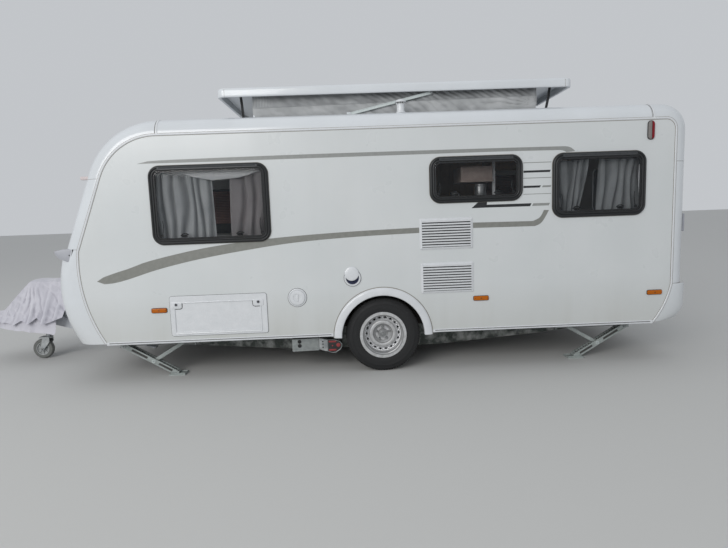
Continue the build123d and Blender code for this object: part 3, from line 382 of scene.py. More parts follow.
def board():
    """Light furniture board with a faint vertical grain."""
    finish = Finish("furniture_board_finish")
    grain = finish.noise(12.0, 5.0, (6.0, 6.0, 0.5))
    finish.set("Base Color", finish.ramp(grain, (0.3, paint("8B6F52")), (0.5, paint("A68A69")),
                                         (0.75, paint("96785A"))))
    finish.set("Roughness", grain * 0.15 + 0.4)
    finish.bump(grain, 0.3)
    return finish


F = {
    "wall": wall_white(),
    "moulding": moulding_white(),
    "trim": speckled("white_trim", "DADCDF", "CFD2D5", 20.0, (0.22, 0.32), 0.08, Coat_Weight=0.2),
    "frame": speckled("window_frame_black", "17191B", "222426", 60.0, (0.38, 0.5), 0.12, 1200.0),
    "rail": speckled("hinge_rail_grey", "34373A", "454749", 60.0, (0.3, 0.42), 0.08),
    "pane": tinted_pane(),
    "black": speckled("black_plastic", "1B1C1D", "2A2A2B", 50.0, (0.45, 0.6), 0.15),
    "seal": speckled("grey_sealant", "8C877D", "7A756C", 50.0, (0.55, 0.7), 0.15),
    "gap": speckled("dark_gap", "4B4A48", "3B3A39", 50.0, (0.6, 0.75), 0.1),
    "stripe": speckled("stripe_olive", "878883", "7C7D78", 30.0, (0.3, 0.4), 0.05),
    "stripe_grey": speckled("stripe_grey", "949694", "8A8C8A", 30.0, (0.3, 0.4), 0.05),
    "stripe_black": speckled("stripe_black", "1F2022", "292A2C", 30.0, (0.3, 0.4), 0.05),
    "zinc": galvanised_steel("galvanised_steel"),
    # a darkened copy of the galvanised finish: painted shade under the body
    "rail_zinc_in_shade": galvanised_steel("galvanised_rail", "4C514E", "333734"),
    "zinc_pale": speckled("drawbar_zinc", "C6C9CE", "B4B8BD", 40.0, (0.35, 0.5), 0.2, Metallic=0.25),
    "zinc_soft": speckled("steady_zinc", "AFB6B4", "979E9C", 40.0, (0.4, 0.55), 0.25, Metallic=0.2),
    "zinc_dark": galvanised_steel("galvanised_shade", "9AA09F", "737978"),
    "lever": speckled("lever_aluminium_finish", "D3DAD9", "C2CAC9", 60.0, (0.3, 0.42), 0.06, Metallic=0.35),
    "steel": speckled("bolt_steel", "A7A9AA", "8B8C8C", 120.0, (0.25, 0.45), 0.1, Metallic=0.85),
    "rim": rim_paint(),
    "tyre": tyre_rubber(),
    "drive_red": speckled("drive_patch_red", "9C3A3C", "8A3234", 60.0, (0.4, 0.5), 0.05),
    "rubber_grey": speckled("jockey_tyre", "5E605E", "70726F", 40.0, (0.6, 0.75), 0.3, 500.0),
    "hub_grey": speckled("jockey_hub", "A6A9A9", "969999", 40.0, (0.4, 0.55), 0.15),
    "amber": lens("amber_lens", "C46A06", "904603"),
    "red": lens("red_lens_finish", "8E1420", "5E0A14"),
    "clear": lens("clear_lens", "8C8886", "66625F", 900.0),
    "lens_white": lens("front_marker_lens", "D8CFCF", "B9A9A9", 900.0),
    "handle": speckled("handle_grey", "A9ABB2", "A2A4AB", 12.0, (0.35, 0.45), 0.05),
    "mover": speckled("mover_housing", "A3A8A7", "8B9090", 35.0, (0.35, 0.5), 0.12, Metallic=0.4),
    "brake": speckled("brake_lever_black", "202122", "303031", 60.0, (0.4, 0.55), 0.12),
    "ply": speckled("underfloor_board", "2B2724", "37322D", 18.0, (0.7, 0.85), 0.5, 240.0),
    "board": board(),
    "inlet_blue": speckled("inlet_blue", "1A2447", "131A36", 60.0, (0.35, 0.5), 0.08),
    "plate": speckled("plate_white", "D9D8D2", "CDCCC6", 90.0, (0.3, 0.4), 0.05),
    # the last colour given to a cloth is the painted shade of its folds
    "bellows": woven("bellows_fabric", "BFC0C1", "9B9D9E", 1500.0, 0.2, 1.0, hollow="4F5152"),
    # the bellows' upper band: a darker copy of the bellows cloth, painted shade under the lid
    "band": woven("bellows_band", "B2B4B5", "8E9092", 1500.0, 0.2, 1.0, hollow="3C3E3F"),
    "cover": woven("cover_cloth", "CFCED5", "BDBCC5", 1300.0, 0.25, 1.2, hollow="8F8D98"),
    "voile": woven("curtain_voile", "CBCED0", "B0B4B7", 1700.0, 0.12, 0.3, 0.4, "565A5D"),
    # the rear windows' voile: a darker copy of the voile, painted shade
    "voile_rear_in_shade": woven("curtain_voile_rear", "A2A6A8", "8A8E91", 1700.0, 0.12, 0.3, 0.4, "3E4244"),
    "sheer": woven("sheer_voile", "D6D2D4", "C2BDC0", 1700.0, 0.12, 0.3, 0.4, "8E888B", Alpha=0.5),
    "blind": woven("pleated_blind_cloth", "C2948A", "A97E75", 1500.0, 0.15, 0.0, hollow="664A48"),
    "blind_dark": speckled("blind_dark_rail", "23282A", "2B3032", 60.0, (0.5, 0.65), 0.1),
    "hood": speckled("kitchen_hood_cream", "A3958E", "8F7F78", 30.0, (0.35, 0.45), 0.05),
    "strap": woven("strap_webbing", "1E1F21", "2B2C2E", 2200.0, 0.35),
}


def wall_basis(side, x, z):
    """Turns (across, up, out) of a side wall into the shared frame, in millimetres."""
    return basis((x, side * WALL_Y, z), (-side, 0, 0), (0, 0, 1))


def basis(origin, across, up):
    across, up = Vector(across), Vector(up)
    out = across.cross(up)
    columns = Matrix((across, up, out)).transposed().to_4x4()
    return Matrix.Translation(Vector(origin)) @ columns


def side_place(side, out):
    """Turns (x, z, out) of a face seen from outside into the shared frame."""
    if side < 0:
        return basis((0, -out, 0), (1, 0, 0), (0, 0, 1))
    return Matrix(((1, 0, 0, 0), (0, 0, 1, out), (0, 1, 0, 0), (0, 0, 0, 1)))


def outlined(piece, points, side, near, far, bevel=0.0):
    """A side-view outline of (x, z) points, from y near to y far, outward on one side."""
    piece.outline(list(points), 0.0, far - near, side_place(side, near), bevel)


# The front leans back by SLOPE for each step up, and a curve of the nose's radius goes on above it
SLOPE = 0.388
SLOPE_LENGTH = hypot(1.0, SLOPE)
NOSE_RADIUS = 628.0
SLOPE_TOP = (NOSE_CENTRE[0] + NOSE_RADIUS * SLOPE_OUT[0], NOSE_CENTRE[1] + NOSE_RADIUS * SLOPE_OUT[1])


def slope_x(z):
    return SLOPE_TOP[0] + (z - SLOPE_TOP[1]) * SLOPE


FRONT_BASIS = basis((slope_x(1452), 0, 1452), (0, -1, 0), (SLOPE / SLOPE_LENGTH, 0, 1 / SLOPE_LENGTH))
REAR_X = 3255


def rear_place(y, z, x=REAR_X):
    """Turns (across, up, out) of the rear panel into the shared frame."""
    return basis((x, y, z), (0, 1, 0), (0, 0, 1))


REAR_BASIS = rear_place(0, 1500)


def rounded_loop(width, height, radius, inset=0.0, steps=8):
    """Points round a round-cornered rectangle, anticlockwise from the lower right corner's start."""
    half_w, half_h = width / 2 - inset, height / 2 - inset
    turn = max(radius - inset, 0.5)
    points = []
    for corner, (way_u, way_v) in enumerate(((1, -1), (1, 1), (-1, 1), (-1, -1))):
        for step in range(steps + 1):
            angle = radians(-90 + 90 * corner + 90 * step / steps)
            points.append((way_u * (half_w - turn) + turn * cos(angle),
                           way_v * (half_h - turn) + turn * sin(angle)))
    return points


class Piece:
    """Gathers shapes of one finish on one body, in millimetres, and makes them one object."""

    def __init__(self, name, finish, body="caravan", slot="white_plastic", sharp=32.0):
        self.name, self.finish, self.body, self.slot, self.sharp = name, finish, body, slot, sharp
        self.mesh = bmesh.new()

    def add(self, points, faces, place=None):
        made = []
        for point in points:
            spot = Vector(point)
            made.append(self.mesh.verts.new((place @ spot if place else spot) * MM))
        for face in faces:
            self.mesh.faces.new([made[index] for index in face])

    def box(self, x0, x1, y0, y1, z0, z1, bevel=0.0, place=None, steps=2):
        part = bmesh.new()
        bmesh.ops.create_cube(part, size=1.0)
        size = Vector((abs(x1 - x0), abs(y1 - y0), abs(z1 - z0)))
        middle = Vector(((x0 + x1) / 2, (y0 + y1) / 2, (z0 + z1) / 2))
        for vert in part.verts:
            vert.co = Vector((vert.co.x * size.x, vert.co.y * size.y, vert.co.z * size.z)) + middle
        if bevel:
            bmesh.ops.bevel(
                part, geom=part.edges[:], offset=min(bevel, 0.45 * min(size)), segments=steps,
                profile=0.6, affect="EDGES",
            )
        self.take(part, place)

    def side_box(self, side, x0, x1, y0, y1, z0, z1, bevel=0.0, steps=2):
        """A box written down for the right side, made on the side asked for."""
        self.box(x0, x1, *sorted((side * y0, side * y1)), z0, z1, bevel, None, steps)

    def take(self, part, place=None):
        part.verts.ensure_lookup_table()
        part.verts.index_update()
        self.add([vert.co for vert in part.verts], [[v.index for v in face.verts] for face in part.faces],
                 place)
        part.free()

    def loft(self, loops, place=None, closed=False, ends=(True, True)):
        """Joins loops of equally many points; closed joins the last loop to the first."""
        count = len(loops[0])
        points = [point for loop in loops for point in loop]
        faces = []
        rows = len(loops) if closed else len(loops) - 1
        for row in range(rows):
            a, b = row * count, ((row + 1) % len(loops)) * count
            for column in range(count):
                nxt = (column + 1) % count
                faces.append((a + column, a + nxt, b + nxt, b + column))
        if not closed and ends[0]:
            faces.append(tuple(reversed(range(count))))
        if not closed and ends[1]:
            faces.append(tuple(range((len(loops) - 1) * count, len(loops) * count)))
        self.add(points, faces, place)

    def ring(self, width, height, radius, profile, place, steps=8, closed=True):
        """A frame round a round-cornered opening; profile is (inset, out) pairs that close on themselves."""
        loops = [[(u, v, out) for u, v in rounded_loop(width, height, radius, inset, steps)]
                 for inset, out in profile]
        self.loft(loops, place, closed)

    def plate(self, width, height, radius, profile, place, steps=8):
        """A round-cornered panel; profile is (inset, out) pairs from its back to its middle."""
        self.ring(width, height, radius, profile, place, steps, False)

    def turned(self, profile, middle, axis, turns=48, closed=True):
        """A turned shape; profile is (radius, along) pairs from one end of the axis to the other."""
        axis = Vector(axis).normalized()
        side = axis.orthogonal().normalized()
        other = axis.cross(side)
        middle = Vector(middle)
        loops = []
        for radius, along in profile:
            loop = []
            for turn in range(turns):
                angle = 2 * pi * turn / turns
                way = side * cos(angle) + other * sin(angle)
                loop.append(middle + axis * along + way * max(radius, 0.01))
            loops.append(loop)
        self.loft(loops, None, closed=closed == "ring", ends=(closed is True, closed is True))

    def rod(self, start, end, radius, bevel=0.0, turns=20):
        start, end = Vector(start), Vector(end)
        length = (end - start).length
        bevel = min(bevel, radius * 0.6, length * 0.4)
        profile = [(radius - bevel, 0), (radius, bevel), (radius, length - bevel), (radius - bevel, length)]
        if not bevel:
            profile = [(radius, 0), (radius, length)]
        self.turned(profile, start, end - start, turns)

    def hexagon(self, start, end, across, chamfer=1.0):
        along = Vector(end) - Vector(start)
        length = along.length
        corner = across * 0.577
        profile = [(across * 0.5, 0), (corner, chamfer * 0.6), (corner, length - chamfer),
                   (across * 0.48, length)]
        self.turned(profile, start, along, 6)

    def sweep(self, path, section, closed=False, up=(0, 0, 1), scale=None):
        """Carries a section of (side, up) points along a path."""
        loops = []
        count = len(path)
        spots = [Vector(spot) for spot in path]
        up = Vector(up)
        for index, spot in enumerate(spots):
            before = spots[(index - 1) % count] if closed or index > 0 else spots[index]
            after = spots[(index + 1) % count] if closed or index < count - 1 else spots[index]
            along = (after - before).normalized()
            side = along.cross(up).normalized()
            lift = side.cross(along)
            size = scale(index / max(count - 1, 1)) if scale else 1.0
            loops.append([spot + side * u * size + lift * v * size for u, v in section])
        self.loft(loops, None, closed=closed)

    def outline(self, points, out0, out1, place, bevel=0.0):
        """A flat shape with straight edges between its points, given thickness along out."""
        part = bmesh.new()
        low = [part.verts.new((u, v, out0)) for u, v in points]
        face = part.faces.new(low)
        made = bmesh.ops.extrude_face_region(part, geom=[face])
        for item in made["geom"]:
            if isinstance(item, bmesh.types.BMVert):
                item.co.z = out1
        if bevel:
            top = [edge for edge in part.edges if all(abs(v.co.z - out1) < 1e-6 for v in edge.verts)]
            bmesh.ops.bevel(part, geom=top, offset=bevel, segments=2, profile=0.6, affect="EDGES")
        bmesh.ops.recalc_face_normals(part, faces=part.faces[:])
        self.take(part, place)

    def object(self):
        mesh = bpy.data.meshes.new(self.name)
        bmesh.ops.remove_doubles(self.mesh, verts=self.mesh.verts[:], dist=0.00002)
        bmesh.ops.recalc_face_normals(self.mesh, faces=self.mesh.faces[:])
        self.mesh.to_mesh(mesh)
        self.mesh.free()
        mesh.shade_smooth()
        mesh.set_sharp_from_angle(angle=radians(self.sharp))
        return show(self.name, mesh, self.finish)

    def done(self, *replaced):
        return settle(self.object(), self.body, self.slot, replaced)


def show(name, mesh, finish):
    piece = bpy.data.objects.new(name, mesh)
    scene.collection.objects.link(piece)
    mesh.materials.clear()
    mesh.materials.append(F[finish].material)
    return piece


def settle(piece, body, slot, replaced=()):
    """Puts a piece on the body that it rides and hides the nodes that it replaces; the slot is not used."""
    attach(piece, body)
    if replaced:
        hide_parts(*replaced)
    return piece


def finish_all(*pieces):
    for piece in pieces:
        piece.done()


def repeater(name, around):
    """A Geometry Nodes tree that repeats a shape along a step, or round the Y axis through a centre."""
    tree = bpy.data.node_groups.new(name, "GeometryNodeTree")
    sockets = {}
    for label, kind in (("Shape", "Object"), ("Count", "Int"), ("Step", "Vector"), ("Centre", "Vector"),
                        ("Finish", "Material")):
        sockets[label] = tree.interface.new_socket(label, in_out="INPUT", socket_type="NodeSocket" + kind)
    tree.interface.new_socket("Result", in_out="OUTPUT", socket_type="NodeSocketGeometry")
    given = tree.nodes.new("NodeGroupInput").outputs

    def node(kind, inputs, output=0, **settings):
        made = tree.nodes.new(kind)
        for key, value in settings.items():
            setattr(made, key, value)
        for key, value in inputs.items():
            if isinstance(value, bpy.types.NodeSocket):
                tree.links.new(value, made.inputs[key])
            else:
                made.inputs[key].default_value = value
        return made.outputs[output] if made.outputs else None

    step = (0, 0, 0) if around else given["Step"]
    line = node("GeometryNodeMeshLine", {"Count": given["Count"], "Offset": step}, mode="OFFSET")
    shape = node("GeometryNodeObjectInfo", {"Object": given["Shape"]}, "Geometry", transform_space="RELATIVE")
    wanted = {"Points": line, "Instance": shape}
    if around:
        share = node("ShaderNodeMath", {0: node("GeometryNodeInputIndex", {}), 1: given["Count"]},
                     operation="DIVIDE")
        angle = node("ShaderNodeMath", {0: share, 1: 2 * pi}, operation="MULTIPLY")
        wanted["Rotation"] = node("ShaderNodeCombineXYZ", {"Y": angle})
    real = node("GeometryNodeRealizeInstances", {0: node("GeometryNodeInstanceOnPoints", wanted)})
    moved = node("GeometryNodeTransform", {0: real, "Translation": given["Centre"]})
    painted = node("GeometryNodeSetMaterial", {0: moved, "Material": given["Finish"]})
    node("NodeGroupOutput", {0: painted})
    return tree, {label: socket.identifier for label, socket in sockets.items()}


ALONG = repeater("repeat_along", False)
AROUND = repeater("repeat_round", True)


def repeat(shape, kind, count, step=(0, 0, 0), centre=(0, 0, 0), replaced=()):
    """Makes a plain mesh of the shape repeated, along a step or round an axis, in millimetres."""
    tree, sockets = kind
    model = shape.object()
    holder = bpy.data.objects.new(shape.name + "_set", bpy.data.meshes.new(shape.name + "_base"))
    scene.collection.objects.link(holder)
    modifier = holder.modifiers.new("repeat", "NODES")
    modifier.node_group = tree
    values = {"Shape": model, "Count": count, "Step": [part * MM for part in step],
              "Centre": [part * MM for part in centre], "Finish": F[shape.finish].material}
    for label, value in values.items():
        modifier[sockets[label]] = value
    seen = holder.evaluated_get(bpy.context.evaluated_depsgraph_get())
    mesh = bpy.data.meshes.new_from_object(seen)
    bpy.data.objects.remove(holder)
    bpy.data.objects.remove(model)
    mesh.set_sharp_from_angle(angle=radians(shape.sharp))
    return settle(show(shape.name + "_row", mesh, shape.finish), shape.body, shape.slot, replaced)


# The frame's own nodes keep their shapes and take a finish
NODES_OF_FINISH = {
    "wall": "side_wall_left side_wall_right entrance_door",
    "moulding": "front_panel roof_front_moulding roof_panel roof_rear_moulding rear_panel rear_bumper "
                "front_locker_panel locker_lid roof_lid",
    "trim": "hatch_door hatch_frame filler_and_inlet flue",
    "plate": "number_plate",
    "ply": "floor locker_tub",
    "board": "furniture front_bed",
    # the axle, rails and cross members take the zinc darkened with painted shade
    "rail_zinc_in_shade": "axle chassis_rails cross_members",
    "zinc_pale": "drawbar_members",
    "zinc": "coupling steady_brackets jockey_fork jockey_inner_tube jockey_outer_tube",
    "zinc_soft": " ".join(f"steady_{part}_{end}_{side}" for part in ("leg", "brace")
                          for end in ("front", "rear") for side in SIDES),
    "brake": "handbrake_lever",
    "lever": "roof_lift_levers",
    "handle": "grab_handles",
    "rim": "rim_left rim_right",
    "mover": "manoeuvring_drives",
    "red": "rear_lamps",
    "amber": "marker_lamps",
    "pane": "rooflight",
}
for finish_name, node_names in NODES_OF_FINISH.items():
    for node_name in node_names.split():
        for holder in cad_nodes[node_name].material_slots:
            holder.material = F[finish_name].material

# Windows
FRAME_PROFILE = [(0, 0.2), (0.6, 8), (3, 14), (8, 18.5), (14, 20), (18, 18), (20, 13.5), (22.5, 13), (25, 17),
                 (29, 19.5), (34, 20), (38, 18), (40, 12), (40, 2), (34, -24), (10, -24), (10, 0.2)]
SEAL_PROFILE = [(-2.5, 0.1), (-2.5, 1.6), (-0.5, 2.6), (1.5, 2.6), (1.5, 0.1)]
BORDER_PROFILE = [(39, 6), (40, 13.5), (54, 14.5), (55, 12), (55, 6)]
PANE_PROFILE = [(38, 8), (38, 13), (44, 15.5), (60, 17.5), (90, 19), (130, 19.8), (170, 20)]
# Each window's place, width and height
WINDOWS = {
    "front_left": (wall_basis(-1, -660, 1452), 952, 632),
    "kitchen": (wall_basis(-1, 1490.5, 1576.5), 759, 371),
    "rear_left": (wall_basis(-1, 2497.5, 1500), 769, 522),
    "front_right": (wall_basis(1, -910, 1452), 880, 632),
    "rear_right": (wall_basis(1, 2497.5, 1500), 769, 522),
    "front": (FRONT_BASIS, 1560, 540),
    "rear": (REAR_BASIS, 1200, 522),
}


def glaze(frames, borders, panes, rails, catches, seals, place, width, height):
    frames.ring(width, height, 90, FRAME_PROFILE, place, 10)
    seals.ring(width, height, 90, SEAL_PROFILE, place, 10)
    borders.ring(width, height, 90, BORDER_PROFILE, place, 10)
    limit = min(width, height) / 2 - 60
    panes.plate(width, height, 90, [(min(inset, limit), out) for inset, out in PANE_PROFILE], place, 10)
    half = width / 2 - 88
    rail_top = height / 2 - 11
    section = [(0, 14), (0, 19), (-4, 21.6), (-9, 20.6), (-12, 18), (-16, 20.8), (-22, 21), (-26, 18),
               (-26, 14)]
    loops = [[(u, rail_top + v, out) for v, out in section] for u in (-half, half)]
    rails.loft(loops, place)
    for way in (-1, 1):
        rails.box(way * half - 7, way * half + 7, rail_top - 24, rail_top - 3, 12, 21.8, 3, place)
    for way in (-1, 1):
        # bottom catch: a foot on the pane and a swung handle
        foot_u = way * width * 0.235
        foot_v = 84 - height / 2
        catches.box(foot_u - 22, foot_u + 22, foot_v - 26, foot_v - 6, -12, 8, 4, place)
        path = [(foot_u - 30, foot_v - 14), (foot_u - 12, foot_v + 2), (foot_u + 12, foot_v + 4),
                (foot_u + 32, foot_v - 8)]
        catches.sweep([place @ Vector((u, v, -6)) for u, v in path], circle(5, 8),
                      up=place.to_3x3() @ Vector((0, 0, 1)))
        # side stay, a thin arm that runs up beside the edge
        edge_u = way * (width / 2 - 74)
        reach = min(120, height * 0.24)
        base_v = 74 - height / 2
        path = [(edge_u, base_v + reach * t, -10 + 6 * sin(pi * t)) for t in (0, 0.25, 0.5, 0.75, 1)]
        path = [(u - way * 14 * sin(pi * 0.8 * (v - base_v) / reach), v, out) for u, v, out in path]
        catches.sweep([place @ Vector(spot) for spot in path], circle(3.2, 8),
                      up=place.to_3x3() @ Vector((1, 0, 0)))
        catches.box(edge_u - 9, edge_u + 9, base_v - 12, base_v + 12, -14, 4, 3, place)


def circle(radius, count=10):
    return [(radius * cos(2 * pi * step / count), radius * sin(2 * pi * step / count))
            for step in range(count)]


# Parts of a window: its name on the door, its name on the walls, its finish and its slot
GLAZING = (
    ("surround", "surrounds", "frame", "black_rubber"),
    ("border", "borders", "black", "black_rubber"),
    ("acrylic", "acrylics", "pane", "acrylic"),
    ("hinge_rail", "hinge_rails", "rail", "black_rubber"),
    ("catches", "catches", "black", "black_rubber"),
    ("seal", "seals", "seal", "black_rubber"),
)


def build_windows():
    walls = [Piece("window_" + many, finish, slot=slot) for _, many, finish, slot in GLAZING]
    for place, width, height in WINDOWS.values():
        glaze(*walls, place, width, height)
    frames, borders, panes, rails, catches, seals = walls
    frames.done("window_frames")
    panes.done("window_panes")
    finish_all(borders, rails, catches, seals)
    door = [Piece("door_window_" + one, finish, "entrance_door", slot) for one, _, finish, slot in GLAZING]
    glaze(*door, wall_basis(1, -90, 1500), 400, 522)
    door[0].done("door_window")
    finish_all(*door[1:])


build_windows()

# Edge mouldings along the side outline
# Radius of the roof's rear curve, radius across the roof's sides, and how far in the mouldings run
REAR_RADIUS = 215.0
ROOF_CORNER = 130.0
EDGE = 130.0


def slope_x_at(z, depth):
    return slope_x(z) + depth * SLOPE_LENGTH


def arc_through(a, b, c, steps):
    """Points on the circle through three points, from the first to the last."""
    (ax, ay), (bx, by), (cx, cy) = a, b, c
    d = 2 * (ax * (by - cy) + bx * (cy - ay) + cx * (ay - by))
    ux = ((ax * ax + ay * ay) * (by - cy) + (bx * bx + by * by) * (cy - ay)
          + (cx * cx + cy * cy) * (ay - by)) / d
    uy = ((ax * ax + ay * ay) * (cx - bx) + (bx * bx + by * by) * (ax - cx)
          + (cx * cx + cy * cy) * (bx - ax)) / d
    radius = hypot(ax - ux, ay - uy)
    start, middle, end = (atan2(y - uy, x - ux) for x, y in (a, b, c))
    way = 1 if ((middle - start) % (2 * pi)) < ((end - start) % (2 * pi)) else -1
    span = ((end - start) * way) % (2 * pi)
    return [(ux + radius * cos(start + way * span * t / steps),
             uy + radius * sin(start + way * span * t / steps))
            for t in range(steps + 1)]


def side_line():
    """The line where the flat side wall meets the rounded panels, from the front's foot over the roof."""
    nose = NOSE_RADIUS - EDGE
    rear = REAR_RADIUS - EDGE
    join = (slope_x_at(1110, EDGE), 1110)
    slope_end = (NOSE_CENTRE[0] + nose * SLOPE_OUT[0], NOSE_CENTRE[1] + nose * SLOPE_OUT[1])
    points = arc_through((-1588, 338), (-1738, 745), join, 24)
    points += [slope_end]
    start = atan2(SLOPE_OUT[1], SLOPE_OUT[0])
    for step in range(1, 25):
        angle = start + (pi / 2 - start) * step / 24
        points.append((NOSE_CENTRE[0] + nose * cos(angle), NOSE_CENTRE[1] + nose * sin(angle)))
    centre_x, centre_z = REAR_X - REAR_RADIUS, ROOF_Z - REAR_RADIUS
    for step in range(13):
        angle = pi / 2 - pi / 2 * step / 12
        points.append((centre_x + rear * cos(angle), centre_z + rear * sin(angle)))
    points += arc_through((3125, 658), (3075, 496), (2978, 338), 16)
    return points


def offset_line(points, distance):
    """The line moved sideways; positive is outwards, to the left of its direction."""
    moved = []
    for index, (x, z) in enumerate(points):
        before = points[max(index - 1, 0)]
        after = points[min(index + 1, len(points) - 1)]
        length = hypot(after[0] - before[0], after[1] - before[1]) or 1.0
        nx, nz = -(after[1] - before[1]) / length, (after[0] - before[0]) / length
        moved.append((x + nx * distance, z + nz * distance))
    return moved


def ribbon(piece, side, points, profile):
    """A moulding along a line on the side wall; profile is (sideways, proud) pairs that close."""
    loops = []
    lines = [offset_line(points, sideways) for sideways, _ in profile]
    for index in range(len(points)):
        loops.append([(line[index][0], side * (WALL_Y + proud), line[index][1])
                      for line, (_, proud) in zip(lines, profile)])
    piece.loft(loops)


def build_edge_mouldings():
    line = side_line()
    bead = Piece("edge_bead", "trim", slot="white_skin")
    dark = Piece("edge_sealant", "seal", slot="white_skin")
    for side in (-1, 1):
        ribbon(bead, side, line, [(-8, -0.5), (-8, 1.6), (-5, 4.2), (0, 5.2), (5, 4.2), (8, 1.6), (8, -3)])
        ribbon(dark, side, line, [(7.5, -4), (7.5, 1.6), (10.5, 1.0), (11, -4)])
        ribbon(dark, side, line, [(-11.5, -0.5), (-11.5, 0.9), (-7.5, 1.3), (-7.5, -0.5)])
    finish_all(bead, dark)
    cover = Piece("roof_joint_covers", "trim", slot="white_skin")
    gap = Piece("roof_joint_gaps", "gap", slot="white_skin")
    angles = [radians(90 * step / 8) for step in range(9)]
    arc = [(970 + ROOF_CORNER * cos(angle), 2010 + ROOF_CORNER * sin(angle)) for angle in angles]
    across = [(-y, z) for y, z in arc] + arc[::-1]
    for x in (NOSE_CENTRE[0] + 6, CAP_REAR_X + 8):
        for piece, x0, x1, proud in ((cover, x, x + 15, 3.2), (gap, x - 3.5, x, 0.7)):
            half = proud * 0.6
            section = ((-1, x0), (half, x0), (proud, x0 + 3), (proud, x1 - 3), (half, x1), (-1, x1))
            piece.loft([[(spot, y * (1 + out / WALL_Y), z + out * (z - 2010) / ROOF_CORNER)
                         for out, spot in section] for y, z in across])
    finish_all(cover, gap)


build_edge_mouldings()


# Stripes: thin vinyl on the side walls
def decal(piece, side, upper, lower):
    """A strip between two lines of (x, z) points, each drawn smoothly through its points."""
    top, bottom = smooth_line(upper), smooth_line(lower)
    points, faces = [], []
    for proud in (0.05, 0.5):
        for line in (top, bottom):
            points += [(x, side * (WALL_Y + proud), z) for x, z in line]
    count = len(top)
    for column in range(count - 1):
        a, b = column, column + 1
        low_top, low_bottom, high_top, high_bottom = 0, count, 2 * count, 3 * count
        faces += [
            (high_top + a, high_top + b, high_bottom + b, high_bottom + a),
            (low_top + a, low_bottom + a, low_bottom + b, low_top + b),
            (low_top + a, low_top + b, high_top + b, high_top + a),
            (low_bottom + a, high_bottom + a, high_bottom + b, low_bottom + b),
        ]
    for column in (0, count - 1):
        faces.append((column, count + column, 3 * count + column, 2 * count + column))
    piece.add(points, faces)


def curve(points, steps):
    """A smooth curve through the points, with so many steps in each stretch."""
    spots = [Vector(point) for point in points]
    dense = []
    for index in range(len(spots) - 1):
        p0, p1, p2 = spots[max(index - 1, 0)], spots[index], spots[index + 1]
        p3 = spots[min(index + 2, len(spots) - 1)]
        for step in range(steps):
            t = step / steps
            dense.append(0.5 * (2 * p1 + (p2 - p0) * t + (2 * p0 - 5 * p1 + 4 * p2 - p3) * t * t
                                + (3 * p1 - p0 - 3 * p2 + p3) * t ** 3))
    return dense + [spots[-1]]


def smooth_line(points, steps=40):
    """A curve through the points, evened out to a fixed number of steps."""
    dense = curve(points, 12)
    lengths = [0.0]
    for a, b in zip(dense, dense[1:]):
        lengths.append(lengths[-1] + (b - a).length)
    result = []
    place = 0
    for step in range(steps + 1):
        target = lengths[-1] * step / steps
        while place < len(lengths) - 2 and lengths[place + 1] < target:
            place += 1
        span = lengths[place + 1] - lengths[place] or 1.0
        spot = dense[place].lerp(dense[place + 1], (target - lengths[place]) / span)
        result.append((spot.x, spot.y))
    return result


SWOOSH_TOP = [(-1616, 861), (-1609, 874), (-1564, 893), (-1455, 928), (-1346, 958), (-1176, 1013),
              (-767, 1095), (-360, 1144), (47, 1173), (536, 1192), (1019, 1202)]
SWOOSH_LOW = [(-1616, 860), (-1608, 849), (-1587, 841), (-1543, 837), (-1462, 845), (-1350, 872),
              (-1101, 944), (-773, 1013), (-364, 1075), (44, 1121), (534, 1147), (1019, 1158)]
TAIL = [[(1461, 1226), (1956, 1221)], [(1461, 1182), (1973, 1179)]]
TAIL_RISE = [[(1956, 1221), (2014, 1251), (2046, 1307)], [(1973, 1179), (2030, 1210), (2088, 1306)]]
TOP_STRIPE = [[(-1213, 1788), (-1109, 1807), (-714, 1813), (80, 1818), (900, 1818), (1687, 1816),
               (2220, 1813)],
              [(-1213, 1787), (-1111, 1788), (-716, 1786), (80, 1787), (900, 1788), (1687, 1788),
               (2180, 1784)]]
TOP_END = [[(2220, 1813), (2262, 1802), (2300, 1772)], [(2180, 1784), (2206, 1777), (2230, 1765)]]
THIN_BARS = [(1877, 2106, 1692, 6), (1877, 2106, 1569, 6), (1877, 2106, 1440, 5)]
BLACK_BARS = [(1877, 2102, 1621, 17), (1877, 2021, 1499, 17)]
ARROW = (
    ([(1453, 1345), (1510, 1394)], [(1455, 1343), (1570, 1344)]),
    ([(1510, 1394), (1580, 1392)], [(1570, 1344), (1572, 1344)]),
    ([(1572, 1367), (1944, 1366)], [(1571, 1344), (1932, 1342)]),
)
GREY_BARS = [(2037, 2106, 1499, 15), (1958, 2096, 1354, 21)]


def build_stripes():
    olive = Piece("stripes_olive", "stripe", slot="white_skin")
    grey = Piece("stripes_grey", "stripe_grey", slot="white_skin")
    black = Piece("stripes_black", "stripe_black", slot="white_skin")
    for side in (-1, 1):
        swoosh = [(SWOOSH_TOP, SWOOSH_LOW)] if side < 0 else clipped_swoosh()
        for upper, lower in swoosh + [TAIL, TAIL_RISE]:
            decal(olive, side, upper, lower)
        for upper, lower in (TOP_STRIPE, TOP_END):
            decal(grey, side, upper, lower)
        for piece, bars, foot, lean in ((grey, THIN_BARS + GREY_BARS, 0.5, 0.5),
                                        (black, BLACK_BARS, 0.0, 0.6)):
            for x0, x1, z, tall in bars:
                decal(piece, side, [(x0, z + tall / 2), (x1, z + tall / 2)],
                      [(x0 - tall * foot, z - tall / 2), (x1 - tall * lean, z - tall / 2)])
        # the arrow's head and its bar, the head cut off straight under the window frame
        for upper, lower in ARROW:
            decal(black, side, upper, lower)
    finish_all(olive, grey, black)


# From and to along the right side, where the entrance door interrupts the stripe
DOOR_GAP = (-376, 212)


